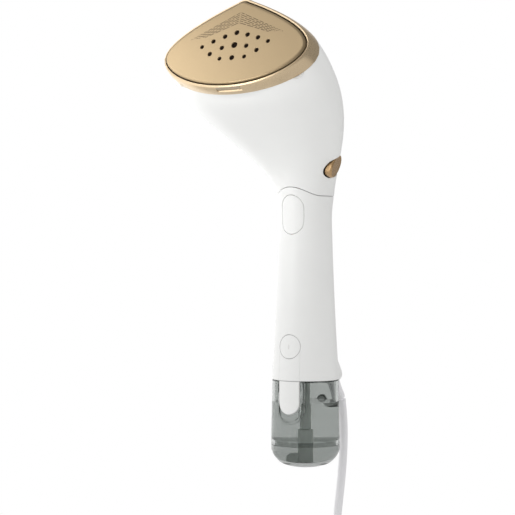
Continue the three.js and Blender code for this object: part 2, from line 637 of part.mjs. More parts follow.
// ---- foot of the grip ----
const SOCKET_R = [11.5, 13.5];
const BASE_R = 24.4;
add("base_plate", WHITE_PART, cut(
  union(
    rod(BASE_R, -80.7, -78, IDENTITY, 40),
    bar([-9, -7], [-20.3, -16.7], [-78.1, -61.8]),
    bar([7, 9], [-20.3, -16.7], [-78.1, -61.8]),
  ),
  rod(1.3, -10, 10, LEVER_PIN, 12),
  rod(SOCKET_R[1] + GAP, -82, -77, IDENTITY, 32),
  bar([-COVER_HALF - 0.6, COVER_HALF + 0.6], [-30, -21.2], [-82, -77]),
  bar([-7, 7], [-21, -11.4], [-82, -77]),
));
add("tank_socket", WHITE_PART, cut(
  union(rod(SOCKET_R[1], -80.4, -66, IDENTITY, 32), rod(3.4, -66.1, -58, IDENTITY, 16)),
  rod(SOCKET_R[0], -81, -68.5, IDENTITY, 32),
  rod(1.8, -69, -57, IDENTITY, 12),
  bar([-7, 7], [-20.5, -11.4], [-82, -72.6]),
));
add("socket_seal", SILICONE, ring(9.8, 11.2, -72.4, -70.6, IDENTITY, 28));

// ---- water tank ----
const TANK_WALL = 2.5;
const recessShape = (half, bottom) => stadium(half, bottom, -70, false);
const recessBottom = RECESS_CENTRE_Z - RECESS_HALF;
const tankOuter = revolve(
  [[0, TANK_TOP_Z], [TANK_TOP_R - 0.5, TANK_TOP_Z], [TANK_TOP_R, TANK_TOP_Z - 0.5],
    [TANK_LOW_R, -131], [TANK_LOW_R, TANK_SPLIT_Z], [0, TANK_SPLIT_Z]],
  IDENTITY,
  56,
);
const tankCavity = revolve(
  [[0, TANK_TOP_Z - TANK_WALL], [TANK_INSIDE_R - 1, TANK_TOP_Z - TANK_WALL],
    [TANK_INSIDE_R, TANK_TOP_Z - TANK_WALL - 1], [TANK_INSIDE_R, -150], [0, -150]],
  IDENTITY,
  56,
);
const RECESS_WALL = 2;
const recessOf = (grow) => cut(
  slab(recessShape(RECESS_HALF + grow, recessBottom - grow), -FAR, 0, 12),
  rod(RECESS_FLOOR_R - grow, -130, -70, IDENTITY, 56),
);
const NECK_R = [7, 9.5];
const FILLER_R = 4.2;
const FILLER = frameAlong([0, 1, 0], [0, 0, STOPPER_Z]);
add("tank_body", SMOKE, cut(
  union(
    cut(tankOuter, cut(tankCavity, recessOf(RECESS_WALL))),
    rod(NECK_R[1], TANK_TOP_Z - 0.1, -72.8, IDENTITY, 28),
    bar([-5, 5], [-14, -12], [TANK_TOP_Z - 0.1, -73.5]),
    bar([-5, 5], [-16, -13.9], [-75.5, -73.5]),
  ),
  recessOf(0),
  rod(NECK_R[0], -90, -70, IDENTITY, 28),
  rod(FILLER_R, 20, 35, FILLER, 20),
  rod(FILLER_R + 1.2, TANK_INSIDE_R + 1.2, 35, FILLER, 24),
));
const BASE_LIP_R = 24.6;
add("tank_base", CLEAR, revolve(
  [[0, TANK_BOTTOM_Z], [13, TANK_BOTTOM_Z + 0.4], [21, TANK_BOTTOM_Z + 3.2], [26, TANK_BOTTOM_Z + 9],
    [TANK_LOW_R, TANK_SPLIT_Z - 5], [TANK_LOW_R, TANK_SPLIT_Z - GAP], [BASE_LIP_R, TANK_SPLIT_Z - GAP],
    [BASE_LIP_R, TANK_SPLIT_Z + 3], [BASE_LIP_R - 2, TANK_SPLIT_Z + 3],
    [BASE_LIP_R - 2, TANK_SPLIT_Z - 6], [20, TANK_BOTTOM_Z + 6],
    [12, TANK_BOTTOM_Z + 2.9], [0, TANK_BOTTOM_Z + 2.5]],
  IDENTITY,
  56,
));
add("filler_stopper", PALE_RUBBER, union(
  rod(FILLER_R - GAP, 21.5, 27, FILLER, 20),
  rod(FILLER_R + 0.9, TANK_INSIDE_R + 1.6, 29.2, FILLER, 24),
  bar([-3, 3], [28.9, 31.5], [STOPPER_Z - 1.2, STOPPER_Z + 1.2]),
));
add("tank_valve", WHITE_PART, cut(
  rod(6.6, -84, -73.4, IDENTITY, 24),
  rod(1.8, -85, -73, IDENTITY, 12),
));
const DIP_R = [2.6, 3.75];
const FILTER_Z = [-145, -121.8];
const FILTER_R = 5.2;
add("dip_tube", GREY_PLASTIC, ring(...DIP_R, FILTER_Z[1] + GAP, -84.3, IDENTITY, 20));
add("intake_filter", GREY_PLASTIC, cut(
  union(
    rod(FILTER_R, FILTER_Z[0], FILTER_Z[1], IDENTITY, 24),
    rod(FILTER_R - 1, FILTER_Z[0] - 3.5, FILTER_Z[0] + 0.1, IDENTITY, 20),
    bar([-14, 0], [-3, 3], [FILTER_Z[0], FILTER_Z[0] + 4]),
  ),
  rod(DIP_R[0], FILTER_Z[0] + 2, -110, IDENTITY, 16),
));

// ---- mains lead ----
const RELIEF_RINGS = 12;
const reliefCurve = new THREE.CatmullRomCurve3(RELIEF_ROUTE.map(vec), false, "centripetal");
function taperedAlong(curve, radii, rings, sides) {
  const sideways = new THREE.Vector3(1, 0, 0);
  return skin(
    Array.from({ length: rings + 1 }, (_, i) => {
      const middle = curve.getPointAt(i / rings);
      const across = curve.getTangentAt(i / rings).cross(sideways).normalize();
      const r = radii[0] + ((radii[1] - radii[0]) * i) / rings;
      return Array.from({ length: sides }, (__, j) => {
        const turn = (2 * Math.PI * j) / sides;
        const [a, b] = [r * Math.cos(turn), r * Math.sin(turn)];
        return middle.clone().addScaledVector(sideways, a).addScaledVector(across, b);
      });
    }),
    false,
  );
}
add("strain_relief", CORD_WHITE, taperedAlong(reliefCurve, [5, 3.9], RELIEF_RINGS, 16));
add("cord_gland", GREY_PLASTIC, rod(BOSS_BORE_R - 0.4, BOSS_LENGTH - 22, BOSS_LENGTH - 4, BOSS, 20));
add("cord", CORD_WHITE, tube(CORD_ROUTE, CORD_R, 24, 10));
const COIL = frameAlong([0, 1, 0], COIL_CENTRE);
const [coilBack, coilFront] = [COIL_Y[0] - COIL_CENTRE[1], COIL_Y[1] - COIL_CENTRE[1]];
add("cord_coil", CORD_WHITE, ring(COIL_INNER_R, COIL_OUTER_R, coilBack, coilFront, COIL, 40));
const TIE_GAP = 0.4;
const TIE_THICK = 1.2;
add("cord_tie", BLACK_PLASTIC, cut(
  bar(
    [-COIL_OUTER_R - TIE_GAP - TIE_THICK, -COIL_INNER_R + TIE_GAP + TIE_THICK],
    [COIL_Y[0] - TIE_GAP - TIE_THICK, COIL_Y[1] + TIE_GAP + TIE_THICK],
    [COIL_CENTRE[2] - 6, COIL_CENTRE[2] + 6],
  ),
  bar(
    [-COIL_OUTER_R - TIE_GAP, -COIL_INNER_R + TIE_GAP + 0.6],
    [COIL_Y[0] - TIE_GAP, COIL_Y[1] + TIE_GAP],
    [COIL_CENTRE[2] - 7, COIL_CENTRE[2] + 7],
  ),
));
const PLUG_Z = [-342, -320.3];
add("cord_tail", CORD_WHITE, rod(CORD_R, -295, -288.6, at(...TAIL, 0), 16));
add("plug_strain_relief", CORD_WHITE, revolve(
  [[0, PLUG_Z[1] + GAP], [5.2, PLUG_Z[1] + GAP], [4, -295.3], [0, -295.3]], at(...TAIL, 0), 20,
));
const plugOutline = new THREE.Shape();
plugOutline.moveTo(TAIL[0] - 6, PLUG_Z[1]).lineTo(TAIL[0] - 17, PLUG_Z[0] + 5);
plugOutline.quadraticCurveTo(TAIL[0] - 18, PLUG_Z[0], TAIL[0] - 14, PLUG_Z[0]);
plugOutline.lineTo(TAIL[0] + 14, PLUG_Z[0]);
plugOutline.quadraticCurveTo(TAIL[0] + 18, PLUG_Z[0], TAIL[0] + 17, PLUG_Z[0] + 5);
plugOutline.lineTo(TAIL[0] + 6, PLUG_Z[1]);
const PLUG_HALF_THICK = 6.5;
const PIN_X = 9.5;
const PIN_R = 2.4;
const pinTip = PLUG_Z[0] - 19.3;
add("plug_body", CORD_WHITE, slab(plugOutline, TAIL[1] - PLUG_HALF_THICK, TAIL[1] + PLUG_HALF_THICK, 6));
[-PIN_X, PIN_X].forEach((x, i) => {
  add("plug_pin_" + (i + 1), STEEL, revolve(
    [[0, pinTip], [PIN_R - 0.8, pinTip], [PIN_R, pinTip + 1.3], [PIN_R, PLUG_Z[0] - GAP],
      [0, PLUG_Z[0] - GAP]],
    at(TAIL[0] + x, TAIL[1], 0),
    16,
  ));
});

export default group;
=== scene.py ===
import json
import math

import bmesh
import bpy
import numpy as np
from mathutils import Matrix, Vector
from mathutils.bvhtree import BVHTree
from mathutils.interpolate import poly_3d_calc


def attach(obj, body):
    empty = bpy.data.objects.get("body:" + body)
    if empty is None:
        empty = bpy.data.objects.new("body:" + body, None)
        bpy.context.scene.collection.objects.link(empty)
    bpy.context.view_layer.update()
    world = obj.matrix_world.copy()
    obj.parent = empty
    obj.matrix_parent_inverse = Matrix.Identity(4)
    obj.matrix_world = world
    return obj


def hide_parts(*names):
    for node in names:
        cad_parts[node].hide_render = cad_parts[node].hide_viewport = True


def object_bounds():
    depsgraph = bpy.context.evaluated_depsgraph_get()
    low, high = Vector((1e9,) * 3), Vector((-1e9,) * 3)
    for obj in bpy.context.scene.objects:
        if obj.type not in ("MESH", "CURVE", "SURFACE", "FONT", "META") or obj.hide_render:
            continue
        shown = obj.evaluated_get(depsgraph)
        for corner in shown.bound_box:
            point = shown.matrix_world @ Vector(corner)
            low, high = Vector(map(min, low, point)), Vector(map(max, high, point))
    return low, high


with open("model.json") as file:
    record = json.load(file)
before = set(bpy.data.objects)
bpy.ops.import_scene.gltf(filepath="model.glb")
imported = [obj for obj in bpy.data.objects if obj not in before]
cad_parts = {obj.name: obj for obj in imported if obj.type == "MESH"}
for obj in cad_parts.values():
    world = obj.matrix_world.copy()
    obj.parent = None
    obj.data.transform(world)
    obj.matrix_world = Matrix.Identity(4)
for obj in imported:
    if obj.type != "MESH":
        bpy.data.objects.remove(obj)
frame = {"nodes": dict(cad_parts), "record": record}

CAD_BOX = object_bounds()
MM = 0.001

# ---- camera: level, turned to the side, with a long lens ----
CAMERA_TURN = 33
CAMERA_PLACE = (638.7, -1055.7, 18.4)
CAMERA_LENS = 105.1
SENSOR_WIDTH = 36
camera = bpy.data.objects.new("camera", bpy.data.cameras.new("camera"))
bpy.context.scene.collection.objects.link(camera)
camera.location = Vector(CAMERA_PLACE) * MM
camera.rotation_euler = (math.pi / 2, 0, math.radians(CAMERA_TURN))
camera.data.sensor_width = SENSOR_WIDTH
camera.data.lens = CAMERA_LENS
camera.data.clip_start = 0.01
bpy.context.scene.camera = camera


# ---- materials ----
LOOKS = {}


def node_material(name):
    """A new material, kept in LOOKS under its plain name."""
    material = bpy.data.materials.new(name)
    LOOKS[name] = material
    material.use_nodes = True
    return material.node_tree, material.node_tree.nodes["Principled BSDF"]


def noise(tree, scale, detail=3.0, stretch=(1, 1, 1)):
    place = tree.nodes.new("ShaderNodeTexCoord")
    mapping = tree.nodes.new("ShaderNodeMapping")
    mapping.inputs["Scale"].default_value = stretch
    texture = tree.nodes.new("ShaderNodeTexNoise")
    texture.inputs["Scale"].default_value = scale
    texture.inputs["Detail"].default_value = detail
    tree.links.new(place.outputs["Object"], mapping.inputs["Vector"])
    tree.links.new(mapping.outputs["Vector"], texture.inputs["Vector"])
    return texture.outputs["Fac"]


def ranged(tree, value, low, high, start=0.3, end=0.7):
    spread = tree.nodes.new("ShaderNodeMapRange")
    spread.inputs["From Min"].default_value = start
    spread.inputs["From Max"].default_value = end
    spread.inputs["To Min"].default_value = low
    spread.inputs["To Max"].default_value = high
    tree.links.new(value, spread.inputs["Value"])
    return spread.outputs["Result"]


def mixed(tree, factor, first, second):
    mix = tree.nodes.new("ShaderNodeMix")
    mix.data_type = "RGBA"
    for socket, value in (("A", first), ("B", second)):
        where = [s for s in mix.inputs if s.name == socket and s.type == "RGBA"][0]
        if isinstance(value, tuple):
            where.default_value = (*value, 1)
        else:
            tree.links.new(value, where)
    tree.links.new(factor, mix.inputs["Factor"])
    return [s for s in mix.outputs if s.type == "RGBA"][0]


RELIEF_DEPTH = 0.0002
ROUGH_SPREAD = 0.05
# where the painted highlight on sharp edges starts and ends, on the Pointiness scale
EDGE_SHEEN_FROM, EDGE_SHEEN_TO = 0.52, 0.6


def surface_look(name, color, rough, metallic=0.0, vary=0.03, patch=60, grain=900, bump=0.04,
                 stretch=(1, 1, 1), edge=0.0, edge_color=(1, 1, 1), **sockets):
    """A material with slow colour variation, a fine moulded or brushed grain and, if asked, a painted
    highlight that lightens its sharp edges.
    """
    tree, shader = node_material(name)
    darker = tuple(c * (1 - vary) for c in color)
    tint = mixed(tree, ranged(tree, noise(tree, patch), 0, 1), color, darker)
    if edge:
        # painted highlight: sharp edges are mixed towards a light colour
        geometry = tree.nodes.new("ShaderNodeNewGeometry")
        painted_sheen = ranged(tree, geometry.outputs["Pointiness"], 0, edge, EDGE_SHEEN_FROM, EDGE_SHEEN_TO)
        tint = mixed(tree, painted_sheen, tint, edge_color)
    tree.links.new(tint, shader.inputs["Base Color"])
    fine = noise(tree, grain, 4.0, stretch)
    uneven = ranged(tree, fine, rough - ROUGH_SPREAD, rough + ROUGH_SPREAD)
    tree.links.new(uneven, shader.inputs["Roughness"])
    relief = tree.nodes.new("ShaderNodeBump")
    relief.inputs["Strength"].default_value = bump
    relief.inputs["Distance"].default_value = RELIEF_DEPTH
    tree.links.new(fine, relief.inputs["Height"])
    tree.links.new(relief.outputs["Normal"], shader.inputs["Normal"])
    shader.inputs["Metallic"].default_value = metallic
    for socket, value in sockets.items():
        shader.inputs[socket.replace("_", " ")].default_value = value


def clear_look(name, color, ior, rough=0.02, grain=300):
    """A tinted clear plastic or liquid."""
    tree, shader = node_material(name)
    darker = tuple(c * 0.97 for c in color)
    tint = mixed(tree, ranged(tree, noise(tree, 40), 0, 1), color, darker)
    tree.links.new(tint, shader.inputs["Base Color"])
    fine = noise(tree, grain)
    tree.links.new(ranged(tree, fine, rough * 0.6, rough * 1.4), shader.inputs["Roughness"])
    shader.inputs["Transmission Weight"].default_value = 1
    shader.inputs["IOR"].default_value = ior


WHITE = (0.86, 0.862, 0.848)
surface_look("white_shell", WHITE, 0.36, vary=0.012, grain=2400, bump=0.03)
surface_look("white_part", WHITE, 0.38, vary=0.012, grain=2400, bump=0.03)
surface_look("gold_plate", (0.37, 0.277, 0.161), 0.42, 0.75, vary=0.04, patch=30, grain=1600, bump=0.05)
surface_look("gold_trim", (0.68, 0.53, 0.345), 0.3, 0.8, vary=0.04, patch=30, grain=1600)
# the knob's bronze, whose sharp edges carry a painted highlight
surface_look("bronze", (0.54, 0.35, 0.175), 0.28, 0.75, vary=0.08, patch=90, grain=1800,
             edge=0.6, edge_color=(0.9, 0.72, 0.46))
# painted shade for the recess of the bezel's notch, put on the sheet laid in it
surface_look("notch_shade", (0.42, 0.34, 0.24), 0.5, 0.2, vary=0.05)
clear_look("smoke_tank", (0.58, 0.598, 0.586), 1.14)
clear_look("clear_base", (0.54, 0.558, 0.546), 1.22)
clear_look("water", (0.95, 0.955, 0.952), 1.2, 0.0)
surface_look("rubber", (0.012, 0.006, 0.003), 0.8, vary=0.2, grain=1400, bump=0.1,
             Specular_IOR_Level=0.1)
surface_look("pale_rubber", (0.78, 0.80, 0.785), 0.6, vary=0.08, grain=1400, bump=0.06)
surface_look("silicone", (0.55, 0.17, 0.1), 0.6, vary=0.1, grain=1200)
surface_look("cord_white", (0.85, 0.845, 0.86), 0.45, vary=0.02, grain=1500, bump=0.08)
surface_look("grey_plastic", (0.74, 0.78, 0.75), 0.5, vary=0.1, grain=1500)
surface_look("black_plastic", (0.02, 0.02, 0.022), 0.5, vary=0.2, grain=1500)
surface_look("cast_aluminium", (0.5, 0.51, 0.52), 0.5, 0.9, vary=0.1, bump=0.3)
surface_look("steel", (0.6, 0.6, 0.61), 0.28, 1.0, vary=0.05, grain=1200, stretch=(1, 1, 8))
surface_look("brass", (0.65, 0.45, 0.16), 0.3, 1.0, vary=0.08, grain=1200)
surface_look("copper", (0.5, 0.2, 0.09), 0.4, 0.8, vary=0.15, stretch=(1, 1, 12))
surface_look("circuit_board", (0.03, 0.14, 0.06), 0.4, vary=0.3, patch=500, grain=2000)
surface_look("pattern_ink", (0.07, 0.05, 0.03), 0.6, vary=0.1, Specular_IOR_Level=0.2)
surface_look("floor", (0.82, 0.82, 0.82), 0.7, vary=0.01, bump=0.0)


# ---- making meshes ----
BODY = "steamer"
WELD = 1e-7
ON_SURFACE = 2e-5


def as_object(name, vertices, faces, look, body, replaces=(), sharp=35):
    """One piece in millimetres, welded, facing out, and given its look and body."""
    mesh = bpy.data.meshes.new(name)
    mesh.from_pydata([tuple(float(c) * MM for c in v) for v in vertices], [], faces)
    work = bmesh.new()
    work.from_mesh(mesh)
    bmesh.ops.remove_doubles(work, verts=work.verts, dist=WELD)
    bmesh.ops.recalc_face_normals(work, faces=work.faces)
    work.to_mesh(mesh)
    work.free()
    mesh.polygons.foreach_set("use_smooth", [True] * len(mesh.polygons))
    mesh.set_sharp_from_angle(angle=math.radians(sharp))
    piece = bpy.data.objects.new(name, mesh)
    bpy.context.scene.collection.objects.link(piece)
    if look:
        mesh.materials.append(LOOKS[look])
    if body:
        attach(piece, body)
    if replaces:
        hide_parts(*replaces)
    return piece


def skin(rings, joined):
    """Vertices and faces over a stack of loops.

    Joined, the last loop meets the first; otherwise both ends are capped."""
    rows, count = len(rings), len(rings[0])
    vertices = [v for ring in rings for v in ring]
    faces = []
    for i in range(rows if joined else rows - 1):
        a, b = i * count, ((i + 1) % rows) * count
        for j in range(count):
            k = (j + 1) % count
            faces.append((a + j, a + k, b + k, b + j))
    if not joined:
        faces.append(tuple(range(count)))
        faces.append(tuple(range((rows - 1) * count, rows * count)))
    return vertices, faces


def tool(vertices, faces):
    return as_object("tool", vertices, faces, None, None)


def boolean(piece, other, operation="DIFFERENCE"):
    """Applies a boolean to piece at once and deletes the other object."""
    step = piece.modifiers.new("join", "BOOLEAN")
    step.operation = operation
    step.solver = "EXACT"
    step.object = other
    graph = bpy.context.evaluated_depsgraph_get()
    made = bpy.data.meshes.new_from_object(piece.evaluated_get(graph))
    piece.modifiers.clear()
    piece.data = made
    bpy.data.objects.remove(other)
    return piece


def dressed_again(piece, sharp=30):
    piece.data.polygons.foreach_set("use_smooth", [True] * len(piece.data.polygons))
    piece.data.set_sharp_from_angle(angle=math.radians(sharp))


def smooth_like(piece, reference, angle=12, sharp=35):
    """Gives faces that still lie on the reference mesh its smooth normals, so that cuts leave no dents."""
    mesh = piece.data
    mesh.polygons.foreach_set("use_smooth", [True] * len(mesh.polygons))
    mesh.set_sharp_from_angle(angle=math.radians(sharp))
    places = [v.co for v in reference.vertices]
    tree = BVHTree.FromPolygons(places, [p.vertices[:] for p in reference.polygons])
    normals = [Vector(n.vector) for n in reference.corner_normals]
    loops = [Vector(n.vector) for n in mesh.corner_normals]
    least = math.cos(math.radians(angle))
    for face in mesh.polygons:
        _, _, index, distance = tree.find_nearest(face.center)
        if distance > ON_SURFACE:
            continue
        near = reference.polygons[index]
        if face.normal.dot(near.normal) < least:
            continue
        for corner in face.loop_indices:
            spot = mesh.vertices[mesh.loops[corner].vertex_index].co
            _, _, at, _ = tree.find_nearest(spot)
            source = reference.polygons[at]
            if source.normal.dot(face.normal) < least:
                source = near
            weights = poly_3d_calc([reference.vertices[v].co for v in source.vertices], spot)
            blended = Vector()
            for weight, loop in zip(weights, source.loop_indices):
                blended += weight * normals[loop]
            if blended.length > 0.5:
                loops[corner] = blended.normalized()
    mesh.normals_split_custom_set([tuple(n) for n in loops])


def turn_frame(axis, origin):
    matrix = Vector((0, 0, 1)).rotation_difference(Vector(axis).normalized()).to_matrix().to_4x4()
    matrix.translation = Vector(origin)
    return np.array(matrix)


def moved(points, matrix):
    points = np.asarray(points, float)
    return points @ matrix[:3, :3].T + matrix[:3, 3]


def revolved(profile, matrix=np.eye(4), count=96):
    """Loops round the third axis of a frame through a closed profile of (radius, height) points."""
    turns = np.linspace(0, 2 * math.pi, count, endpoint=False)
    rings = []
    for r, z in profile:
        ring = np.stack([r * np.cos(turns), r * np.sin(turns), np.full(count, z)], 1)
        rings.append(moved(ring, matrix))
    return rings


def rounded(profile, radius, steps=4):
    """The closed profile with its corners rounded; radius is one number, or one for each corner."""
    points = [np.array(p, float) for p in profile]
    radii = radius if isinstance(radius, (list, tuple)) else [radius] * len(points)
    out = []
    for i, (corner, r) in enumerate(zip(points, radii)):
        before, after = points[i - 1] - corner, points[(i + 1) % len(points)] - corner
        if r <= 0:
            out.append(corner)
            continue
        lengths = np.linalg.norm(before), np.linalg.norm(after)
        reach = min(r, 0.45 * lengths[0], 0.45 * lengths[1])
        start, end = corner + before / lengths[0] * reach, corner + after / lengths[1] * reach
        for t in np.linspace(0, 1, steps + 1):
            out.append((1 - t) ** 2 * start + 2 * t * (1 - t) * corner + t * t * end)
    return out


def lathe(name, profile, look, body, replaces=(), matrix=np.eye(4), count=96, joined=False):
    return as_object(name, *skin(revolved(profile, matrix, count), joined), look, body, replaces)


def turned_tool(profile, matrix=np.eye(4), count=64, joined=False):
    return tool(*skin(revolved(profile, matrix, count), joined))


def block(xs, ys, zs):
    (x0, x1), (y0, y1) = xs, ys
    return skin([[(x0, y0, z), (x1, y0, z), (x1, y1, z), (x0, y1, z)] for z in zs], False)


def join(name, parts, look, body):
    """One piece from several lists of vertices and faces."""
    vertices, faces = [], []
    for v, f in parts:
        base = len(vertices)
        vertices += list(v)
        faces += [tuple(i + base for i in face) for face in f]
    return as_object(name, vertices, faces, look, body)


# ---- the steamer's surfaces ----
AROUND = 160
TILT = math.radians(19.8)
PLATE_CENTRE = np.array([0, -104.6, 180.4])
PLATE_OUT = np.array([0, -math.cos(TILT), math.sin(TILT)])
PLATE_UP = np.array([0, math.sin(TILT), math.cos(TILT)])
ACROSS = np.array([1.0, 0, 0])
OUTLINE_HALF = 63.8
OUTLINE_HUB = -2
OUTLINE_CURVES = [
    [(0, 37.2), (2.6, 37.2), (3.8, 36.1), (5, 35.6)],
    [(5, 35.6), (29, 25.8), (63.8, 9), (63.8, -5)],
    [(63.8, -5), (63.8, -16), (38, -32), (0, -32)],
]


def outline(angles):
    """Points and outward directions of the soleplate's outline at angles from its tip."""
    steps = np.linspace(0, 1, 121)[:, None]
    parts = []
    for corners in OUTLINE_CURVES:
        a, b, c, d = (np.array(p, float) for p in corners)
        rest = 1 - steps
        parts.append(rest ** 3 * a + 3 * steps * rest ** 2 * b + 3 * steps ** 2 * rest * c + steps ** 3 * d)
    half = np.concatenate([parts[0], parts[1][1:], parts[2][1:]])
    full = np.concatenate([half[::-1] * (-1, 1), half[1:], (half[::-1] * (-1, 1))[1:]])
    slope = np.gradient(full, axis=0)
    for _ in range(6):
        slope = (np.roll(slope, 1, 0) + 2 * slope + np.roll(slope, -1, 0)) / 4
    middle = slice(len(half) - 1, 2 * len(half) - 1)
    out = np.stack([-slope[middle, 1], slope[middle, 0]], 1)
    out /= np.linalg.norm(out, axis=1)[:, None]
    along = np.arctan2(half[:, 0], half[:, 1] - OUTLINE_HUB)
    side = np.where(angles > math.pi, -1.0, 1.0)
    wanted = np.where(angles > math.pi, 2 * math.pi - angles, angles)
    points = np.stack([side * np.interp(wanted, along, half[:, 0]), np.interp(wanted, along, half[:, 1])], 1)
    outward = np.stack([side * np.interp(wanted, along, out[:, 0]), np.interp(wanted, along, out[:, 1])], 1)
    outward[wanted < 1e-6] = (0, 1)
    outward[math.pi - wanted < 1e-6] = (0, -1)
    return points, outward / np.linalg.norm(outward, axis=1)[:, None]


TURN = np.linspace(0, 2 * math.pi, AROUND, endpoint=False)
CROWDING = 0.28  # draws the points of each loop closer together at the tip and the heel
ANGLES = TURN - CROWDING * np.sin(2 * TURN)
EDGE, EDGE_OUT = outline(ANGLES)


def on_plate(x, up, depth=0.0):
    """Points across and up the plate, a depth behind its face."""
    x, up, depth = np.broadcast_arrays(*(np.asarray(v, float) for v in (x, up, depth)))
    return PLATE_CENTRE + x[..., None] * ACROSS + up[..., None] * PLATE_UP - depth[..., None] * PLATE_OUT


def edge_loop(offset, depth):
    p = EDGE + EDGE_OUT * np.reshape(offset, (-1, 1))
    return on_plate(p[:, 0], p[:, 1], depth)


BEZEL_BACK_OUT = 4.3
BEZEL_LIP_DEPTH = 1.6
BEZEL_DEPTH, BEZEL_SWEEP = 11.1, 3.6
BEZEL_BACK = BEZEL_DEPTH + BEZEL_SWEEP * (EDGE[:, 0] / OUTLINE_HALF) ** 2
# The head's curve: how strongly it leaves the bezel and arrives at the grip, and how far it bulges between
# them, each at five directions from the plate's tip round to its heel.
LEAVE = (235.1, 220.1, 30, 30, 69.5)
ARRIVE = (260, 46.8, 96.9, 178.9, 179.2)
BELLY = (-4.3, -0.5, 13, 21.9, 22)
LEAVE_ANGLE = (-5.7, -3.2)  # degrees, elsewhere and at the tip
HEAD_GAP = 0.1
SEAM_GAP = 0.22
SEAM_Z, SEAM_RISE, SEAM_REACH = 68.2, 7.1, 65
WAIST_Z, WAIST_R = 49, 21.65
FLARE_DOWN, FLARE_CURVE, FLARE_UP = 0.0245, 0.000157, 0.0045


def grip_radius(z):
    """The grip is narrowest at its waist and flares below and above it."""
    below, above = np.maximum(WAIST_Z - z, 0), np.maximum(z - WAIST_Z, 0)
    return WAIST_R + FLARE_DOWN * below + FLARE_CURVE * below ** 2 + FLARE_UP * above ** 2


def seam_height(angle):
    """The seam between head and grip is level, and rises within SEAM_REACH degrees of the front."""
    from_front = np.abs(np.degrees(angle) - 180)
    near = np.pi * np.minimum(from_front, SEAM_REACH) / SEAM_REACH
    return SEAM_Z + np.where(from_front < SEAM_REACH, SEAM_RISE * (1 + np.cos(near)) / 2, 0)


def blend_round(values, angle):
    """A smooth, even function of the angle that takes the values at equal steps from 0 to half a turn."""
    last = len(values) - 1
    half = [0.5 if i in (0, last) else 1.0 for i in range(last + 1)]
    total = np.zeros_like(angle)
    for k in range(last + 1):
        weight = sum(half[j] * v * math.cos(math.pi * k * j / last) for j, v in enumerate(values))
        total += 2 / last * half[k] * weight * np.cos(k * angle)
    return total


def head_points(s, gap, lift):
    """The head's outer surface: s is 0 at the bezel and 1 at the grip's seam."""
    s = np.asarray(s, float)[:, None, None]
    back = np.maximum(np.cos(ANGLES), 0) ** 2
    lean = np.radians(LEAVE_ANGLE[0] + (LEAVE_ANGLE[1] - LEAVE_ANGLE[0]) * back)[:, None]
    outward = EDGE_OUT[:, :1] * ACROSS + EDGE_OUT[:, 1:] * PLATE_UP
    start = edge_loop(BEZEL_BACK_OUT, BEZEL_BACK + gap)
    leave = -np.cos(lean) * PLATE_OUT + np.sin(lean) * outward
    z = seam_height(ANGLES)
    r = grip_radius(z)
    away = np.stack([np.sin(ANGLES), np.cos(ANGLES), np.zeros(AROUND)], 1)
    end = away * r[:, None]
    end[:, 2] = z + lift
    arrive = away * -(2 * FLARE_UP * (z - WAIST_Z))[:, None]
    arrive[:, 2] = -1
    arrive /= np.linalg.norm(arrive, axis=1)[:, None]
    return (
        (2 * s ** 3 - 3 * s ** 2 + 1) * start
        + (s ** 3 - 2 * s ** 2 + s) * leave * blend_round(LEAVE, ANGLES)[:, None]
        + (3 * s ** 2 - 2 * s ** 3) * end
        + (s ** 3 - s ** 2) * arrive * blend_round(ARRIVE, ANGLES)[:, None]
        + 16 * (s * (1 - s)) ** 2 * away * blend_round(BELLY, ANGLES)[:, None]
    )


def inward(grid):
    """Unit directions into the body at each point of a grid of loops."""
    across = np.roll(grid, -1, 1) - np.roll(grid, 1, 1)
    along = np.gradient(grid, axis=0)
    normal = np.cross(along, across)
    return normal / np.linalg.norm(normal, axis=2)[:, :, None]


HEAD_WALL = 2.2
HEAD_S = np.concatenate([[0, 0.004, 0.012, 0.03, 0.055], np.linspace(0.085, 0.93, 40),
                         [0.965, 0.985, 0.994, 1]])


def head_rings(lip=0.35):
    """The head's outer surface with its rims rounded, then its inner surface back again."""
    outer = head_points(HEAD_S, HEAD_GAP, SEAM_GAP)
    deep = inward(outer)
    deep[-1, :, 2] = 0
    deep[-1] /= np.linalg.norm(deep[-1], axis=1)[:, None]
    deep[0] -= (deep[0] @ PLATE_OUT)[:, None] * PLATE_OUT
    deep[0] /= np.linalg.norm(deep[0], axis=1)[:, None]
    rounding = np.zeros(len(HEAD_S))
    rounding[[0, 1]] = 0.12, 0.04
    rounding[[-1, -2]] = lip, lip * 0.3
    top = outer + deep * rounding[:, None, None]
    return list(top) + list((outer + deep * HEAD_WALL)[::-3])


GRIP_BOTTOM = -81
GRIP_WALL = 2.4
GRIP_S = np.concatenate([[0, 0.0015, 0.005, 0.012], np.linspace(0.04, 0.96, 26), [0.988, 0.9955, 0.999, 1]])


def grip_rings(drop=SEAM_GAP, lip=0.3):
    """The grip's outer surface from the bottom up, then its inner surface back down."""
    top = seam_height(ANGLES) - drop
    rings, inner = [], []
    for i, s in enumerate(GRIP_S):
        z = GRIP_BOTTOM + (top - GRIP_BOTTOM) * s
        edge = {0: lip, 1: lip * 0.45, 2: lip * 0.1}.get(min(i, len(GRIP_S) - 1 - i), 0)
        for loops, inset in ((rings, edge), (inner, GRIP_WALL)):
            r = grip_radius(z) - inset
            loops.append(np.stack([r * np.sin(ANGLES), r * np.cos(ANGLES), z], 1))
    return rings + inner[::-3]


def reference_mesh(rings):
    """The smooth, uncut shell, used only to look up heights and normals."""
    piece = as_object("reference", *skin(rings, True), None, None, sharp=40)
    mesh = piece.data
    bpy.data.objects.remove(piece)
    return mesh


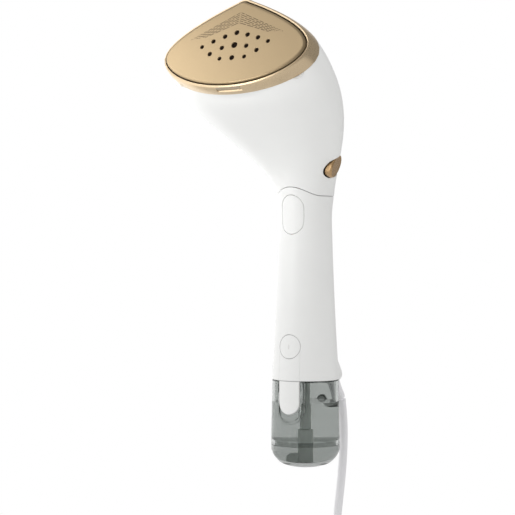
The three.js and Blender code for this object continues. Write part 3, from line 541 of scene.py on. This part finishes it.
# ---- outlines drawn on the grip, as (x, z) loops ----
def stadium(half, z0, z1, offset=0.0, round_top=True, round_bottom=True, arc=20, side=14):
    """A strip between two heights, grown by the offset, with either end round or square."""
    half, z0, z1 = half + offset, z0 - offset, z1 + offset
    low = z0 + half if round_bottom else z0
    high = z1 - half if round_top else z1
    loop = []
    if round_bottom:
        turns = np.linspace(math.pi, 2 * math.pi, arc + 1)
        loop += [(half * math.cos(a), low + half * math.sin(a)) for a in turns]
    else:
        loop += [(x, z0) for x in np.linspace(-half, half, arc + 1)]
    loop += [(half, z) for z in np.linspace(low, high, side + 1)[1:-1]]
    if round_top:
        turns = np.linspace(0, math.pi, arc + 1)
        loop += [(half * math.cos(a), high + half * math.sin(a)) for a in turns]
    else:
        loop += [(x, z1) for x in np.linspace(half, -half, arc + 1)]
    loop += [(-half, z) for z in np.linspace(high, low, side + 1)[1:-1]]
    return np.array(loop)


def front(x, z):
    return -np.sqrt(np.maximum(grip_radius(z) ** 2 - x ** 2, 0))


def round_front(radius):
    """The front of an upright cylinder."""
    def surface(x, _):
        return -np.sqrt(radius ** 2 - x ** 2)
    return surface


def patch_rings(shape, steps, surface, outward=-1):
    """Loops of a shape laid on a surface: each step is (offset of the outline, depth below the surface)."""
    rings = []
    for offset, depth in steps:
        loop = shape(offset)
        y = surface(loop[:, 0], loop[:, 1]) - outward * depth
        rings.append(np.stack([loop[:, 0], y, loop[:, 1]], 1))
    return rings


FACE_SHARES = (0.985, 0.8, 0.6, 0.4, 0.22, 0.12)


def rolled_edge(inset, depth, count):
    """Steps from a flat face round its edge to the side wall."""
    turns = np.linspace(0, math.pi / 2, count)
    return [(-inset * (1 - math.sin(a)), depth * (1 - math.cos(a))) for a in turns]


def button_steps(half, thick, edge):
    """From the middle of the face out to its rounded edge and down the side wall to the back."""
    inner = [(-half * k, 0.0) for k in FACE_SHARES]
    return inner + rolled_edge(edge, edge, 5) + [(0, thick), (-half * FACE_SHARES[0], thick)]


def mouth_steps(gap, edge, deep):
    """A cutter for an opening whose rim is rounded: wide above the surface, straight below it."""
    turns = np.linspace(0.12, math.pi / 2, 5)
    arc = [(gap + edge * (1 - math.sin(a)), edge * (1 - math.cos(a))) for a in turns]
    return [(gap + edge, -6.0), (gap + edge, -0.02)] + arc + [(gap, deep)]


def patch(name, shape, steps, surface, look, body, replaces=(), outward=-1):
    return as_object(name, *skin(patch_rings(shape, steps, surface, outward), False), look, body, replaces)


def patch_tool(shape, steps, surface=front, outward=-1):
    return tool(*skin(patch_rings(shape, steps, surface, outward), False))


def cutter(shape, gap=0.3, edge=0.3, surface=front, outward=-1):
    return patch_tool(shape, mouth_steps(gap, edge, 8), surface, outward)


TRIGGER_HALF = 10
LATCH_HALF = 9.6  # the release button, the strip below it and the tongue are all this wide
RELEASE_Z = -53.6
COVER_TOP = -58


def trigger_shape(offset=0.0):
    return stadium(TRIGGER_HALF, 37.3, 68.8, offset)


def release_shape(offset=0.0):
    turn = np.linspace(0, 2 * math.pi, 64, endpoint=False)
    r = LATCH_HALF + offset
    return np.stack([r * np.cos(turn), RELEASE_Z + r * np.sin(turn)], 1)


def tick_shape(offset=0.0):
    return stadium(0.35, -55.4, -51.8, offset, arc=6, side=6)


def cover_shape(offset=0.0):
    return stadium(LATCH_HALF, GRIP_BOTTOM, COVER_TOP, offset, False, False)


def cover_opening(offset=0.0):
    return stadium(LATCH_HALF, GRIP_BOTTOM - 19, COVER_TOP, offset, False, False)


def tongue_shape(offset=0.0):
    return stadium(LATCH_HALF, -108.2, -81.3, offset, False, True, side=16)


# ---- mains lead: its start follows the CAD route, and the rest is a round coil of two layers below it ----
CORD_D = 7.0
COIL_CENTRE = np.array([0, 32.9, -262])
PITCH = 7.35
INNER_R, OUTER_R = 36.3, 43.7
CORD_ROUTE = [
    (0, 59.4, -102.3), (0, 61.6, -113), (0, 62.9, -125), (0, 63.1, -137), (0, 62.2, -150),
    (0, 60, -165), (0, 57.4, -178), (0, 54.7, -190), (0, 52.5, -200),
]
ENTRY = math.radians(45)
ENTRY_BEND = 28
COIL_TURNS = 8.125


def eased(value, start, end):
    """0 before the start and 1 after the end, with a gentle change between them."""
    share = min(1, max(0, (value - start) / (end - start)))
    return (1 - math.cos(math.pi * share)) / 2


def coil_point(turns):
    """Inner layer from the back column to the front, then the outer layer back again."""
    column = 2 - sum(eased(turns, k + 0.65, k + 0.95) for k in range(4))
    column += sum(eased(turns, k + 5.12, k + 5.38) for k in range(3))
    r = INNER_R + (OUTER_R - INNER_R) * eased(turns, 4.38, 4.66)
    angle = ENTRY + 2 * math.pi * turns
    return COIL_CENTRE + (r * math.sin(angle), PITCH * column, r * math.cos(angle))


def cord_points():
    points = [np.array(p, float) for p in CORD_ROUTE]
    _, from_y, from_z = points[-1]
    entry_y = COIL_CENTRE[1] + 2 * PITCH
    for k in range(1, 6):
        a = ENTRY * k / 5
        drop = ENTRY_BEND * math.sin(a)
        y = from_y + (entry_y - from_y) * eased(drop, -12, 26)
        points.append(np.array([ENTRY_BEND * (1 - math.cos(a)), y, from_z - drop]))
    start, end = points[-1], coil_point(0)
    points += [start + (end - start) * k / 3 for k in (1, 2)]
    count = int(COIL_TURNS * 24)
    points += [coil_point(COIL_TURNS * k / count) for k in range(count + 1)]
    last = points[-1]
    points += [last + (0, 0, -dz) for dz in (6, 13, 20, 27, 33)]
    return points


def smooth_line(points, step=3.0):
    """The same route with points close together, on one smooth curve."""
    p = np.array(points)
    padded = np.vstack([2 * p[0] - p[1], p, 2 * p[-1] - p[-2]])
    line = []
    for i in range(1, len(padded) - 2):
        a, b, c, d = padded[i - 1: i + 3]
        count = max(1, int(np.linalg.norm(c - b) / step))
        for t in np.arange(count) / count:
            line.append(0.5 * (2 * b + (c - a) * t + (2 * a - 5 * b + 4 * c - d) * t ** 2
                               + (3 * b - a - 3 * c + d) * t ** 3))
    line.append(p[-1])
    return np.array(line)


def make_cord():
    line = smooth_line(cord_points())
    curve = bpy.data.curves.new("mains_lead", "CURVE")
    curve.dimensions = "3D"
    spline = curve.splines.new("POLY")
    spline.points.add(len(line) - 1)
    spline.points.foreach_set("co", [c for p in line for c in (*(p * MM), 1)])
    curve.bevel_depth = CORD_D / 2 * MM
    curve.bevel_resolution = 6
    curve.use_fill_caps = True
    curve.materials.append(LOOKS["cord_white"])
    lead = bpy.data.objects.new("mains_lead", curve)
    bpy.context.scene.collection.objects.link(lead)
    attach(lead, "steamer")
    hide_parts("cord", "cord_coil", "cord_tail")
    length = float(np.linalg.norm(np.diff(line, axis=0), axis=1).sum()) * MM
    return lead, length


def along_frames(points, radii, count=32):
    """Loops of the given radii round a line that lies in the x = 0 plane."""
    p = np.array(points, float)
    tangent = np.gradient(p, axis=0)
    tangent /= np.linalg.norm(tangent, axis=1)[:, None]
    turns = np.linspace(0, 2 * math.pi, count, endpoint=False)
    rings = []
    for place, way, r in zip(p, tangent, radii):
        side = np.cross(way, ACROSS)
        rings.append(place + r * (np.cos(turns)[:, None] * ACROSS + np.sin(turns)[:, None] * side))
    return rings


SLEEVE_LINE = [(0, 44.1, -82.4), (0, 50.6, -91.5), (0, 58.1, -100.4)]
SLEEVE_R, SLEEVE_TAPER = 5.0, 1.15
SLEEVE_RIBS, RIB_DEPTH = 9, 0.28


def make_relief():
    line = smooth_line(SLEEVE_LINE, 0.55)
    share = np.linspace(0, 1, len(line))
    ribbed = (share > 0.12) & (share < 0.8)
    ribs = RIB_DEPTH * (0.5 + 0.5 * np.cos(2 * np.pi * share * SLEEVE_RIBS))
    radii = SLEEVE_R - SLEEVE_TAPER * share - np.where(ribbed, ribs, 0)
    radii[:2] -= (0.4, 0.12)
    radii[-2:] -= (0.1, 0.3)
    as_object("strain_relief_sleeve", *skin(along_frames(line, radii), False), "cord_white", BODY,
              ("strain_relief",), sharp=60)


TAIL_X, TAIL_Y = OUTER_R, float(COIL_CENTRE[1] + PITCH)
PLUG_FACE = -342
PLUG_SLEEVE_FROM, PLUG_SLEEVE_TO = -319.9, -295.5
PLUG_SLEEVE_STEPS = 16


def make_plug():
    axis = turn_frame((0, 0, 1), (TAIL_X, TAIL_Y, 0))
    ribbed = [(0, PLUG_SLEEVE_FROM)]
    for k in range(PLUG_SLEEVE_STEPS + 1):
        groove = 0.35 if k % 2 else 0
        ribbed.append((5.2 - 1.2 * k / PLUG_SLEEVE_STEPS - groove,
                       PLUG_SLEEVE_FROM + (PLUG_SLEEVE_TO - PLUG_SLEEVE_FROM) * k / PLUG_SLEEVE_STEPS))
    ribbed.append((0, PLUG_SLEEVE_TO))
    ribbed = rounded(ribbed, 0.25, 2)
    sleeve = lathe("plug_sleeve", ribbed, "cord_white", BODY, ("plug_strain_relief",), axis, 32)
    left = [(-6, -320.3), (-17, -337), (-17.6, -341), (-14, PLUG_FACE)]
    flat = np.array(rounded(left + [(-x, z) for x, z in reversed(left)], 3, 4))
    way = flat - flat.mean(0)
    way /= np.linalg.norm(way, axis=1)[:, None]
    rings = []
    for y, grow in ((-6.5, -1.6), (-6.1, -0.6), (-4.8, 0), (4.8, 0), (6.1, -0.6), (6.5, -1.6)):
        loop = flat + way * grow
        loop[:, 1] = np.maximum(loop[:, 1], PLUG_FACE)
        rings.append(np.stack([loop[:, 0] + TAIL_X, np.full(len(loop), TAIL_Y + y), loop[:, 1]], 1))
    housing = as_object("plug_housing", *skin(rings, False), "cord_white", BODY, ("plug_body",), sharp=50)
    return [sleeve, housing]


# ---- shells ----
SPINE_HALF, SPINE_TOP = 12, 117
STRIP_HALF = SPINE_HALF - 0.15
KNOB_R = 9.8
KNOB_FRAME = turn_frame((0.919, 0.203, -0.338), (34.5, -8.45, 91.6))
KNOB_FRAME[:3, 2] += (0, 0, 0.32)  # the knob's side wall runs level, though its face looks a little down
BEHIND = 120  # past the steamer's back, from where its height is looked up


def back_trees():
    """The head's and the grip's outer surfaces without a gap at the seam, to look up the back's heights."""
    for rings in (head_points(HEAD_S, HEAD_GAP, 0), grip_rings(drop=0, lip=0)[:len(GRIP_S)]):
        vertices, faces = skin(list(rings), False)
        yield BVHTree.FromPolygons([Vector(v) for v in vertices], faces)


def make_shells():
    head_reference = reference_mesh(head_rings())
    grip_reference = reference_mesh(grip_rings())
    trees = list(back_trees())

    def back(x, z):
        heights = []
        for px, pz in zip(x, z):
            start = Vector((px, BEHIND, max(pz, GRIP_BOTTOM + 0.01)))
            hits = [tree.ray_cast(start, Vector((0, -1, 0)))[0] for tree in trees]
            heights.append(max(h.y for h in hits if h is not None))
        return np.array(heights)

    def back_above(x, z):
        return back(x, np.maximum(z, GRIP_BOTTOM + 0.05))

    def opening_shape(offset=0.0):
        return stadium(STRIP_HALF, GRIP_BOTTOM - 30, SPINE_TOP, offset, True, False, side=60)

    def strip_shape(offset=0.0):
        loop = stadium(STRIP_HALF, GRIP_BOTTOM, SPINE_TOP, offset, True, False, side=60)
        loop[:, 1] = np.maximum(loop[:, 1], GRIP_BOTTOM)
        return loop

    head = as_object("head_cover", *skin(head_rings(), True), "white_shell", BODY, ("head_shell",), 40)
    boolean(head, cutter(opening_shape, surface=back_above, outward=1))
    r = KNOB_R + 0.15
    knob_hole = [(0, -16), (r - 2.5, -16), (r - 1.3, -8.5), (r + 0.45, -3.6), (r + 0.5, 0), (r + 2.5, 14),
                 (0, 14)]
    room = KNOB_FRAME.copy()
    room[:3, 3] += (0, 0, 0.4)  # the knob is pushed in a little upwards
    boolean(head, turned_tool(knob_hole, room))
    smooth_like(head, head_reference)

    grip = as_object("grip_cover", *skin(grip_rings(), True), "white_shell", BODY, ("handle_shell",), 40)
    boolean(grip, cutter(opening_shape, surface=back_above, outward=1))
    boolean(grip, cutter(trigger_shape))
    boolean(grip, cutter(cover_opening, gap=0.1, edge=0.08))
    boolean(grip, cutter(release_shape))
    smooth_like(grip, grip_reference)

    flat = [(-11, 0), (-8, 0), (-5, 0), (-3, 0), (-1.5, 0), (-0.7, 0)]
    steps = flat + rolled_edge(0.3, 0.3, 4) + [(0, 2.2), (-11, 2.2)]
    patch("rear_strip", strip_shape, steps, back, "white_shell", BODY, ("rear_spine",), outward=1)


BOSS_FROM, BOSS_TO = np.array([0, 20.0, -43]), np.array([0, 45.2, -84.2])


def make_boss():
    length = float(np.linalg.norm(BOSS_TO - BOSS_FROM))
    matrix = turn_frame(BOSS_TO - BOSS_FROM, BOSS_FROM)
    profile = [(0, 4), (7.3, 4), (8.7, length - 14), (9, length - 5), (8.6, length - 2), (7.2, length - 0.4),
               (5.6, length - 0.3), (5.6, length - 14), (0, length - 14)]
    profile = rounded(profile, [0, 0, 1, 2, 2, 1.2, 0.3, 0, 0])
    boss = lathe("lead_boss", profile, "white_shell", BODY, (), matrix, 64)
    inside = []
    for z in np.linspace(-95, 0, 12):
        r = grip_radius(z) - 2.3
        inside.append(np.stack([r * np.sin(ANGLES), r * np.cos(ANGLES), np.full(AROUND, z)], 1))
    boolean(boss, tool(*skin(inside, False)))
    dressed_again(boss, 40)


# ---- controls ----
BUTTON_THICK, BUTTON_EDGE = 3, 0.45
TONGUE_R = 27.25


def make_controls():
    patch("steam_trigger", trigger_shape, button_steps(TRIGGER_HALF, BUTTON_THICK, BUTTON_EDGE), front,
          "white_part", "trigger", ("trigger",))
    release = patch("tank_release", release_shape, button_steps(LATCH_HALF, BUTTON_THICK, BUTTON_EDGE), front,
                    "white_part", "release_button", ("release_button",))
    boolean(release, patch_tool(tick_shape, [(0, -1), (0, 0.35)]))
    dressed_again(release)

    cover = patch("latch_strip", cover_shape, button_steps(LATCH_HALF, 1.5, 0.08), front, "white_part", BODY,
                  ("latch_cover",))
    boolean(cover, cutter(release_shape, edge=0.25))
    dressed_again(cover)


def make_knob():
    r = KNOB_R
    profile = [(0, -2.4), (r - 4.2, -2.4), (r - 4.2, -7.2), (r - 2.5, -7.2), (r - 2, -6.8), (r, -1.6),
               (r - 0.5, -0.3), (r - 1.2, 0), (r - 1.7, -0.3), (r - 2.6, -0.4), (0, -0.4)]
    profile = rounded(profile, [0, 0.3, 0, 0, 0.5, 1.0, 0.5, 0.3, 0.3, 0.4, 0])
    lathe("power_knob", profile, "bronze", "power_button", ("power_button",), KNOB_FRAME)


def make_tongue():
    steps = [(-LATCH_HALF * k, 0.0) for k in FACE_SHARES] + rolled_edge(0.8, 0.8, 6)
    steps += [(0, 2.4), (-0.3, 2.75), (-9.4, 2.75)]
    patch("latch_tongue", tongue_shape, steps, round_front(TONGUE_R), "white_part", BODY, ("tongue",))


# ---- steam head front ----
PLATE_INSET, PLATE_ROUND, PLATE_THICK = 2.1, 1.6, 3.1
# Across, up and width of each hole. One that is off the middle has a twin on the other side.
STEAM_HOLES = [(0, 10.5, 4), (10.3, 8, 3.7), (20.4, 4.7, 3.6), (30.2, 0.8, 3.2), (0, 0, 4.9),
               (11.2, -1.5, 3.6), (21.4, -5.9, 3.6), (0, -10.6, 4), (11.3, -10.6, 3.2)]


def plate_frame(x, up):
    matrix = np.eye(4)
    matrix[:3, 0], matrix[:3, 1], matrix[:3, 2] = ACROSS, PLATE_UP, PLATE_OUT
    matrix[:3, 3] = on_plate(x, up)
    return matrix


def inner_loop(share, depth):
    """The plate's edge loop drawn in towards its middle, which never folds at the tip."""
    p = (EDGE - EDGE_OUT * PLATE_INSET) * share
    return on_plate(p[:, 0], p[:, 1], depth)


def steam_holes():
    """Frame and radius of every hole."""
    for x, up, across in STEAM_HOLES:
        for side in ((1, -1) if x else (1,)):
            yield plate_frame(side * x, up), across / 2


def make_soleplate():
    round_edge = rolled_edge(PLATE_INSET, PLATE_ROUND, 9)
    rings = [inner_loop(0.985, 0)] + [edge_loop(o, d) for o, d in round_edge]
    rings += [edge_loop(0, PLATE_THICK - 0.5), edge_loop(-0.15, PLATE_THICK - 0.15)]
    rings += [edge_loop(-0.5, PLATE_THICK), inner_loop(0.97, PLATE_THICK)]
    plate = as_object("steam_plate", *skin(rings, False), "gold_plate", BODY, ("soleplate",), 30)
    holes, wells = [], []
    for centre, r in steam_holes():
        hole = [(0, -5), (r, -5), (r, -0.35), (r + 0.1, -0.12), (r + 0.3, 0), (r + 0.3, 1), (0, 1)]
        holes.append(skin(revolved(hole, centre, 32), False))
        well = [(0, -1.3), (r - 0.02, -1.3), (r - 0.02, -0.9), (0, -0.9)]
        wells.append(skin(revolved(well, centre, 20), False))
    boolean(plate, join("tool", holes, None, None))
    flat_front(plate)
    join("hole_shadows", wells, "rubber", BODY)


def flat_front(plate):
    """The plate's flat face keeps one normal right across; its edge and holes stay smooth."""
    dressed_again(plate, 25)
    mesh = plate.data
    normals = [Vector(n.vector) for n in mesh.corner_normals]
    forward = Vector(PLATE_OUT)
    for face in mesh.polygons:
        if face.normal.dot(forward) > 0.9999:
            for corner in face.loop_indices:
                normals[corner] = forward
    mesh.normals_split_custom_set([tuple(n) for n in normals])


# Rows of fine engraved dashes that follow the plate's two upper edges, longest at the tip.
WING_SLOPE = -0.47
WING_ROWS = 6
WING_TOP = 27.6
WING_STEP = 1.75
WING_REACH = 42.5
DASH_HALF = 0.26


def dash_spans(row):
    """Starts and ends of the dashes of one row, shorter and further apart towards the wing's end."""
    x, limit = 0.55, WING_REACH * (1 - 0.06 * row)
    length = 6.2 if row % 2 else 3.1
    spans = []
    while x < limit:
        spans.append((x, min(x + length, limit)))
        left = 1 - x / WING_REACH
        x += length + 1.25 + 0.6 * (1 - left)
        length = max(0.9, 6.2 * left ** 1.3)
    return spans


def wing_height(row, x):
    return WING_TOP + WING_SLOPE * x - WING_STEP * row * (1 - 0.6 * x / WING_REACH)


def make_pattern():
    dashes = []
    for side in (1, -1):
        for row in range(WING_ROWS):
            for start, end in dash_spans(row):
                near, far = wing_height(row, start), wing_height(row, end)
                flat = [(start, near - DASH_HALF), (end, far - DASH_HALF), (end, far + DASH_HALF),
                        (start, near + DASH_HALF)]
                faces = [[on_plate(side * x, up, depth) for x, up in flat] for depth in (0.02, -0.03)]
                dashes.append(skin(faces, False))
    join("plate_pattern", dashes, "pattern_ink", BODY)


LIP_OUT = 1.45
NOTCH_HALF, NOTCH_DEPTH = 11, 6.6


def make_bezel():
    def loop(offset, share):
        return edge_loop(offset, BEZEL_LIP_DEPTH + (BEZEL_BACK - BEZEL_LIP_DEPTH) * share)

    outer = [(0.95, 0.02), (1.0, 0.004), (1.15, 0), (1.3, 0.004), (LIP_OUT, 0.015)]
    outer += [(LIP_OUT + (BEZEL_BACK_OUT - LIP_OUT) * math.sin(a) ** 0.9, 1 - math.cos(a))
              for a in np.linspace(0.12, math.pi / 2, 12)[:-1]]
    outer += [(BEZEL_BACK_OUT, 0.97), (BEZEL_BACK_OUT, 0.99), (BEZEL_BACK_OUT - 0.12, 1),
              (BEZEL_BACK_OUT - 2, 1), (1.3, 0.5)]
    rings = [loop(offset, share) for offset, share in outer]
    bezel = as_object("plate_bezel", *skin(rings, True), "gold_trim", BODY, ("bezel",), 40)
    notch = []
    for grow, up in ((1.4, -40), (0.9, -38), (0.4, -35.6), (0, -34.6)):
        half, far = NOTCH_HALF + grow, NOTCH_DEPTH + grow
        corners = [(-half, far), (half, far), (half, 0), (-half, 0)]
        notch.append([on_plate(x, up, depth) for x, depth in corners])
    boolean(bezel, tool(*skin(notch, False)))
    dressed_again(bezel)


def make_notch_painted_shade():
    # A thin sheet in a darker, duller brown on the notch's floor: painted shade for the recess.
    corners = [(-NOTCH_HALF, 1.9), (NOTCH_HALF, 1.9), (NOTCH_HALF, 6.5), (-NOTCH_HALF, 6.5)]
    slab = [[on_plate(x, up, depth) for x, depth in corners] for up in (-34.2, -34.75)]
    shade = as_object("notch_painted_shade", *skin(slab, False), "bronze", BODY)
    shade.data.materials[0] = LOOKS["notch_shade"]


def make_plate_seal():
    section = [(0.75, 3.5), (-3.2, 3.5), (-3.2, 5.3), (0.75, 5.3)]
    rings = [edge_loop(offset, depth) for offset, depth in section]
    as_object("plate_groove_seal", *skin(rings, True), "rubber", BODY, ("plate_seal",))


# ---- tank ----
TANK_TOP, TANK_SPLIT, TANK_BOTTOM = -81.4, -134.0, -152.5
TANK_R, TANK_BORE = 28.2, 25.2
NECK_TOP, NECK_R, NECK_BORE = -72.8, 9.5, 7.0
DOME_TOP = TANK_SPLIT + 3
DOME_BORE, DOME_LIP_R = 22.6, 24.6
WATER_LEVEL = -99.2
WATER_GROWN = 0.12  # the water reaches just into the wall, so that no film of air mirrors the room
FILLER_FRAME = turn_frame((0, 1, 0), (0, 0, -101))
RECESS_WALL = 2.0


def recess_cutter(steps):
    """A cutter for the recess in the tank's front, in which the latch's tongue lies."""
    def shape(offset=0.0):
        return stadium(10.1, -114.5, -60, offset, False, True, arc=24, side=20)
    return patch_tool(shape, steps, round_front(TANK_R))


def make_tank():
    outer = [(0, TANK_TOP), (TANK_R - 1, TANK_TOP), (TANK_R, TANK_SPLIT + 3), (TANK_R, TANK_SPLIT),
             (0, TANK_SPLIT)]
    tank = lathe("water_tank", rounded(outer, [0, 0.3, 1, 0.3, 0], 5), "smoke_tank", "tank", ("tank_body",),
                 count=128)
    inner = [(0, -82.1), (TANK_BORE, -82.1), (TANK_BORE, -150), (0, -150)]
    cavity = turned_tool(rounded(inner, [0, 0.5, 0, 0], 5), count=128)
    wall = [(RECESS_WALL, -8), (RECESS_WALL, 1.0), (RECESS_WALL, 4.3), (1.6, 5.6), (0.6, 6.2), (-9, 6.2)]
    boolean(cavity, recess_cutter(wall))
    boolean(tank, cavity)
    mouth = [(0.9, -6), (0.9, -0.02), (0.45, 0.12), (0.15, 0.45), (0, 0.9), (0, 3.4), (-0.35, 4.0),
             (-1.0, 4.3), (-9.5, 4.3)]
    boolean(tank, recess_cutter(mouth))
    neck = [(NECK_BORE, -83), (NECK_R, -83), (NECK_R, NECK_TOP), (NECK_BORE, NECK_TOP)]
    boolean(tank, turned_tool(rounded(neck, [0, 0, 0.5, 0.5]), joined=True), "UNION")
    r = NECK_BORE - 0.02
    boolean(tank, turned_tool([(0, -90), (r, -90), (r, -70), (0, -70)]))
    filler = [(0, 20), (3.8, 20), (3.8, 26.6), (5.0, 26.6), (5.0, 35), (0, 35)]
    boolean(tank, turned_tool(filler, FILLER_FRAME, 48))
    dressed_again(tank)
    catch = [((-5, 5), (-14, -12), (-81.3, -73.5)), ((-5, 5), (-16, -14), (-75.5, -73.5))]
    join("tank_catch", [block(*sides) for sides in catch], "smoke_tank", "tank")


def make_tank_base():
    rim = TANK_SPLIT - 0.3
    outside = [(0, TANK_BOTTOM), (13, TANK_BOTTOM + 0.4), (21, TANK_BOTTOM + 3.2), (26, TANK_BOTTOM + 9),
               (TANK_R, TANK_SPLIT - 5), (TANK_R, rim), (DOME_LIP_R, rim), (DOME_LIP_R, DOME_TOP)]
    inside = [(DOME_BORE, DOME_TOP), (DOME_BORE, TANK_SPLIT - 6), (20, TANK_BOTTOM + 6),
              (12, TANK_BOTTOM + 2.9), (0, TANK_BOTTOM + 2.5)]
    dome = rounded(outside + inside, [0, 6, 5, 5, 3, 0.3, 0.2, 0.4, 0.4, 4, 5, 5, 0], 6)
    lathe("tank_dome", dome, "clear_base", "tank", ("tank_base",), count=128)


def make_water():
    bore, low_bore = TANK_BORE + WATER_GROWN, DOME_BORE + WATER_GROWN
    liquid = [(0, WATER_LEVEL), (bore, WATER_LEVEL), (bore, DOME_TOP + 0.4), (low_bore, DOME_TOP + 0.2),
              (low_bore, TANK_SPLIT - 6), (20 + WATER_GROWN, TANK_BOTTOM + 6.2), (12, TANK_BOTTOM + 3.1),
              (0, TANK_BOTTOM + 2.7)]
    water = lathe("water", rounded(liquid, [0, 0, 0.5, 0.2, 4, 5, 5, 0], 5), "water", "tank", count=128)
    side = RECESS_WALL - WATER_GROWN
    wall = [(side, -8), (side, 4.3)]
    wall += [(offset, depth - WATER_GROWN) for offset, depth in ((1.6, 5.6), (0.6, 6.2), (-9, 6.2))]
    boolean(water, recess_cutter(wall))
    dressed_again(water)


def make_pickup():
    pipe = rounded([(2.6, -121.5), (3.75, -121.5), (3.75, -84.3), (2.6, -84.3)], 0.25)
    lathe("dip_pipe", pipe, "grey_plastic", "tank", ("dip_tube",), count=48, joined=True)
    body = rounded([(0, -148.5), (4.2, -148.5), (4.2, -145), (5.2, -145), (5.2, -121.8), (2.6, -121.8),
                    (2.6, -143), (0, -143)], [0, 0.6, 0.3, 0.6, 0.8, 0.3, 0, 0])
    pickup = lathe("water_pickup", body, "grey_plastic", "tank", ("intake_filter",), count=64)
    foot = stadium(3, -14, 3, 0, arc=10, side=4)
    rings = []
    for z, size in ((-145, 0.94), (-144.6, 1), (-141.4, 1), (-141, 0.94)):
        loop = foot * size
        rings.append(np.stack([loop[:, 1], loop[:, 0], np.full(len(loop), z)], 1))
    boolean(pickup, tool(*skin(rings, False)), "UNION")
    dressed_again(pickup, 35)


def make_stopper():
    profile = [(0, 24.7), (3.9, 24.7), (3.9, 26.9), (5.1, 26.9), (5.1, 29.2), (0, 29.2)]
    profile = rounded(profile, [0, 0.6, 0.2, 0.2, 0.7, 0])
    plug = lathe("filler_plug", profile, "pale_rubber", "stopper", ("filler_stopper",), FILLER_FRAME, 48)
    boolean(plug, tool(*block((-3, 3), (28.9, 31.5), (-102.2, -99.8))), "UNION")


# ---- everything else: the inner pieces keep their CAD shape and get their finish ----
def finish_inner_pieces():
    slots = {entry["node"]: entry["material_slot"] for entry in frame["record"]["subparts"]}
    for node, piece in frame["nodes"].items():
        piece.data.materials.clear()
        piece.data.materials.append(LOOKS[slots[node]])


# ---- studio: a white room, which reflections see as brighter on one side ----
SOFT_SIDE = (-0.80, -0.52, -0.12)
REFLECTED_SIDE = (-0.93, -0.05, -0.2)
# Each is the dim and the bright strength, and where the brightening starts and ends on the way to that side.
SOFT_LIGHT = (0.83, 0.99, -0.3, 0.95)
REFLECTED_LIGHT = (0.27, 1.6, -0.25, 0.95)
FLOOR_R, FLOOR_GAP = 0.8, 0.002
LAMPS = [  # name, place, target, size in metres, power, spread in degrees
    ("near", (-160, -190, 230), PLATE_CENTRE, 0.12, 0.07, 180),
    ("side", (-190, -330, 330), (0, -60, 150), 0.2, 0.16, 180),
    ("front", (-150, -450, 60), (20, -30, 165), 0.15, 0.035, 45),
]


def from_side(tree, place, side, dim, bright, start, end):
    """A strength that grows smoothly from dim to bright for directions towards one side."""
    toward = tree.nodes.new("ShaderNodeVectorMath")
    toward.operation = "DOT_PRODUCT"
    toward.inputs[1].default_value = side
    tree.links.new(place, toward.inputs[0])
    strength = ranged(tree, toward.outputs["Value"], dim, bright, start, end)
    strength.node.interpolation_type = "SMOOTHSTEP"
    return strength


def chosen(tree, factor, first, second):
    mix = tree.nodes.new("ShaderNodeMix")
    for socket, value in (("A", first), ("B", second)):
        if isinstance(value, float):
            mix.inputs[socket].default_value = value
        else:
            tree.links.new(value, mix.inputs[socket])
    tree.links.new(factor, mix.inputs["Factor"])
    return mix.outputs["Result"]


def make_room():
    world = bpy.data.worlds.new("studio")
    world.use_nodes = True
    tree = world.node_tree
    place = tree.nodes.new("ShaderNodeTexCoord").outputs["Generated"]
    path = tree.nodes.new("ShaderNodeLightPath")
    seen = tree.nodes.new("ShaderNodeMath")
    seen.operation = "MAXIMUM"
    tree.links.new(path.outputs["Is Camera Ray"], seen.inputs[0])
    tree.links.new(path.outputs["Is Transmission Ray"], seen.inputs[1])
    soft = from_side(tree, place, SOFT_SIDE, *SOFT_LIGHT)
    reflected = from_side(tree, place, REFLECTED_SIDE, *REFLECTED_LIGHT)
    lighting = chosen(tree, path.outputs["Is Glossy Ray"], soft, reflected)
    background = tree.nodes["Background"]
    tree.links.new(chosen(tree, seen.outputs["Value"], lighting, 1.0), background.inputs["Strength"])
    background.inputs["Color"].default_value = (1, 1, 1, 1)
    bpy.context.scene.world = world
    bpy.context.scene.view_settings.view_transform = "Standard"


def make_floor():
    work = bmesh.new()
    bmesh.ops.create_circle(work, cap_ends=True, radius=FLOOR_R, segments=96)
    mesh = bpy.data.meshes.new("floor")
    work.to_mesh(mesh)
    work.free()
    mesh.materials.append(LOOKS["floor"])
    floor = bpy.data.objects.new("floor", mesh)
    floor.location.z = float(CAD_BOX[0][2]) - FLOOR_GAP
    bpy.context.scene.collection.objects.link(floor)


def make_lamps():
    for name, place, target, size, power, spread in LAMPS:
        light = bpy.data.lights.new(name, "AREA")
        light.size = size
        light.energy = power
        light.spread = math.radians(spread)
        lamp = bpy.data.objects.new(name, light)
        lamp.location = Vector(place) * MM
        lamp.rotation_euler = (Vector(target) - Vector(place)).to_track_quat("-Z", "Y").to_euler()
        lamp.visible_camera = False
        lamp.visible_transmission = False
        bpy.context.scene.collection.objects.link(lamp)


lead, lead_length = make_cord()
make_relief()
plug_pieces = make_plug()
make_shells()
make_boss()
make_controls()
make_knob()
make_tongue()
make_soleplate()
make_pattern()
make_bezel()
make_notch_painted_shade()
make_plate_seal()
make_tank()
make_tank_base()
make_water()
make_pickup()
make_stopper()
finish_inner_pieces()
make_room()
make_floor()
make_lamps()
